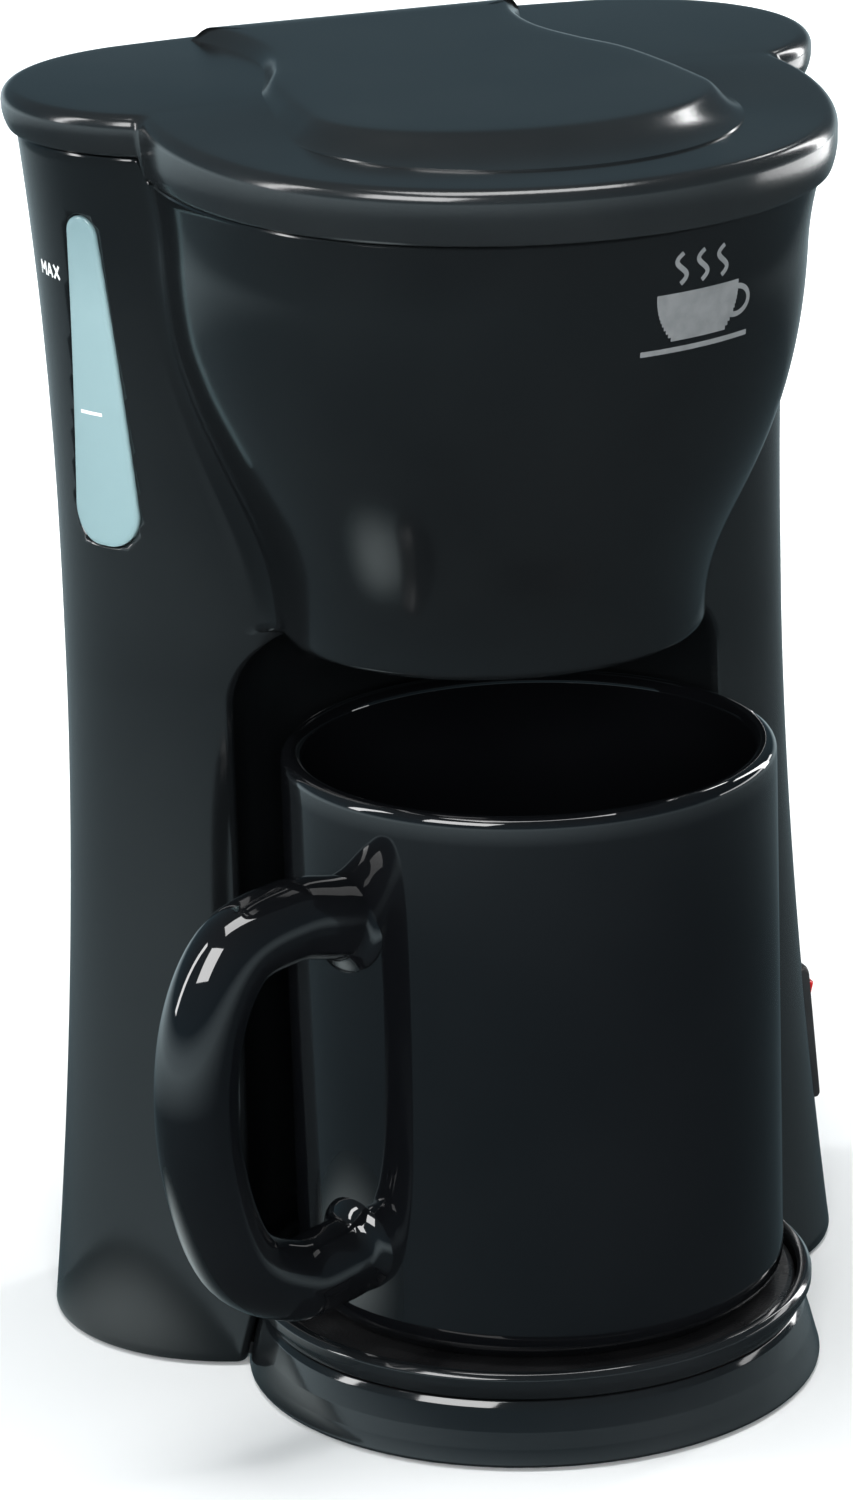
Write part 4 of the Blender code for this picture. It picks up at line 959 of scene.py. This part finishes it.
def stage_look(name, color, centre, distances, glows):
    """A plain pale material that glows by distance from a point: the first glow near it, the second far."""
    made = bpy.data.materials.new(name)
    made.use_nodes = True
    tree = made.node_tree
    shader = tree.nodes["Principled BSDF"]
    set_sockets(shader, {"base_color": (*color, 1.0), "roughness": 0.7, "emission_color": (*color, 1.0)})
    place = add_node(tree, "ShaderNodeTexCoord")
    away = add_node(tree, "ShaderNodeVectorMath")
    away.operation = "DISTANCE"
    away.inputs[1].default_value = Vector(centre) * MM + AXIS
    tree.links.new(place.outputs["Object"], away.inputs[0])
    fade = add_node(tree, "ShaderNodeMapRange", from_min=distances[0] * MM, from_max=distances[1] * MM,
                    to_min=glows[0], to_max=glows[1])
    fade.interpolation_type = "SMOOTHSTEP"
    tree.links.new(away.outputs["Value"], fade.inputs["Value"])
    tree.links.new(fade.outputs["Result"], shader.inputs["Emission Strength"])
    return made


def make_stage():
    """A pale floor, and a glowing disc under it that only the gloss sees: a painted reflection of bright
    floor.
    """
    shape = bmesh.new()
    bmesh.ops.create_grid(shape, x_segments=4, y_segments=4, size=6000.0)
    finish = stage_look("floor_white", (0.92, 0.93, 0.93), (0.0, 0.0, 0.0), (70.0, 700.0), (0.0, 1.05))
    floor = finish_mesh("floor", shape, None, finish)
    floor.visible_glossy = False
    shape = bmesh.new()
    # Painted reflection: the disc glows, and the camera, diffuse light and shadows don't see it, only the
    # gloss.
    bmesh.ops.create_circle(shape, cap_ends=True, segments=96, radius=SHEEN_R)
    bmesh.ops.translate(shape, vec=SHEEN, verts=shape.verts)
    finish = stage_look("painted_reflection_white", (0.85, 0.95, 0.96), SHEEN, (0.1 * SHEEN_R, SHEEN_R), (1.25, 0.0))
    sheen = finish_mesh("painted_floor_reflection", shape, None, finish)
    sheen.visible_camera = sheen.visible_diffuse = sheen.visible_shadow = False


def softbox(name, place, aim, size, power, glossy=True, diffuse=True):
    """A rectangular area light at a place, turned to a point, both in millimetres."""
    data = bpy.data.lights.new(name, "AREA")
    data.shape = "RECTANGLE"
    data.size, data.size_y = size[0] * MM, size[1] * MM
    data.energy = power
    made = bpy.data.objects.new(name, data)
    bpy.context.scene.collection.objects.link(made)
    made.visible_camera, made.visible_glossy, made.visible_diffuse = False, glossy, diffuse
    made.location = Vector(place) * MM + AXIS
    made.rotation_euler = (Vector(aim) - Vector(place)).to_track_quat("-Z", "Y").to_euler()


def make_lights():
    """Soft boxes for light, a fill that the gloss doesn't show, and panels that only the gloss shows."""
    softbox("key_left", (-1100.0, 300.0, 700.0), (0.0, 20.0, 110.0), (160.0, 900.0), 6.0)
    softbox("rim_right", (1000.0, 500.0, 450.0), (0.0, 20.0, 110.0), (160.0, 800.0), 5.0)
    softbox("top_soft", (0.0, -50.0, 1500.0), (0.0, 0.0, 110.0), (1000.0, 560.0), 18.0)
    softbox("fill_front", (-450.0, -1290.0, 590.0), (0.0, 0.0, 110.0), (500.0, 500.0), 17.0, glossy=False)
    softbox("panel_left", (-760.0, -520.0, 900.0), (0.0, 0.0, 100.0), (620.0, 520.0), 13.0, diffuse=False)
    softbox("panel_right", (345.0, 40.0, 146.0), (45.0, -15.0, 212.0), (330.0, 44.0), 0.22, diffuse=False)
    softbox("window_back", (585.0, 570.0, 790.0), (30.0, -30.0, 219.0), (70.0, 95.0), 0.35, diffuse=False)


def make_world():
    """Studio air: dim below and overhead, a pale band under the horizon, and darker to the right."""
    world = bpy.data.worlds.new("studio")
    bpy.context.scene.world = world
    world.use_nodes = True
    tree = world.node_tree
    place = add_node(tree, "ShaderNodeTexCoord")
    split = add_node(tree, "ShaderNodeSeparateXYZ")
    tree.links.new(place.outputs["Generated"], split.inputs["Vector"])
    span = add_node(tree, "ShaderNodeMapRange", from_min=-1.0)
    tree.links.new(split.outputs["Z"], span.inputs["Value"])
    ramp = add_node(tree, "ShaderNodeValToRGB")
    tree.links.new(span.outputs["Result"], ramp.inputs["Fac"])
    stops = ramp.color_ramp.elements
    stops[0].position, stops[0].color = 0.0, (0.06, 0.075, 0.08, 1.0)
    stops[1].position, stops[1].color = 1.0, (0.13, 0.15, 0.16, 1.0)
    for position, color in ((0.33, (0.10, 0.145, 0.165)), (0.43, (0.95, 1.18, 1.26)),
                            (0.48, (0.80, 1.00, 1.08)), (0.56, (0.10, 0.17, 0.21))):
        stops.new(position).color = (*color, 1.0)
    sides = add_node(tree, "ShaderNodeMapRange", from_min=-1.0, to_min=1.25, to_max=0.45)
    tree.links.new(split.outputs["X"], sides.inputs["Value"])
    tree.links.new(sides.outputs["Result"], tree.nodes["Background"].inputs["Strength"])
    tree.links.new(ramp.outputs["Color"], tree.nodes["Background"].inputs["Color"])


def make_camera():
    """A long lens from the front, a little to the left and above, rolled by a degree or two."""
    place, focal, sensor = (-331.5, -943.4, 434.1), 151.07, 36.0
    right, up = Vector((0.945, -0.3259, -0.0295)), Vector((0.1271, 0.2827, 0.9508))
    lens = bpy.data.cameras.new("view")
    lens.lens = focal
    lens.sensor_width = sensor
    camera = bpy.data.objects.new("view", lens)
    bpy.context.scene.collection.objects.link(camera)
    back = right.cross(up).normalized()
    turn = Matrix((right.normalized(), back.cross(right).normalized(), back)).transposed()
    camera.matrix_world = Matrix.Translation(Vector(place) * MM + AXIS) @ turn.to_4x4()
    bpy.context.scene.camera = camera


dress_kept_nodes()
make_housing()
make_seams()
make_window()
make_hinge_lug()
make_lid()
make_foot()
make_mug()
make_handle()
make_bezel()
make_rocker()
make_rocker_marks()
make_cup_mark()
make_fill_marks()
make_stage()
make_lights()
make_world()
make_camera()
bpy.context.scene.view_settings.view_transform = "Standard"
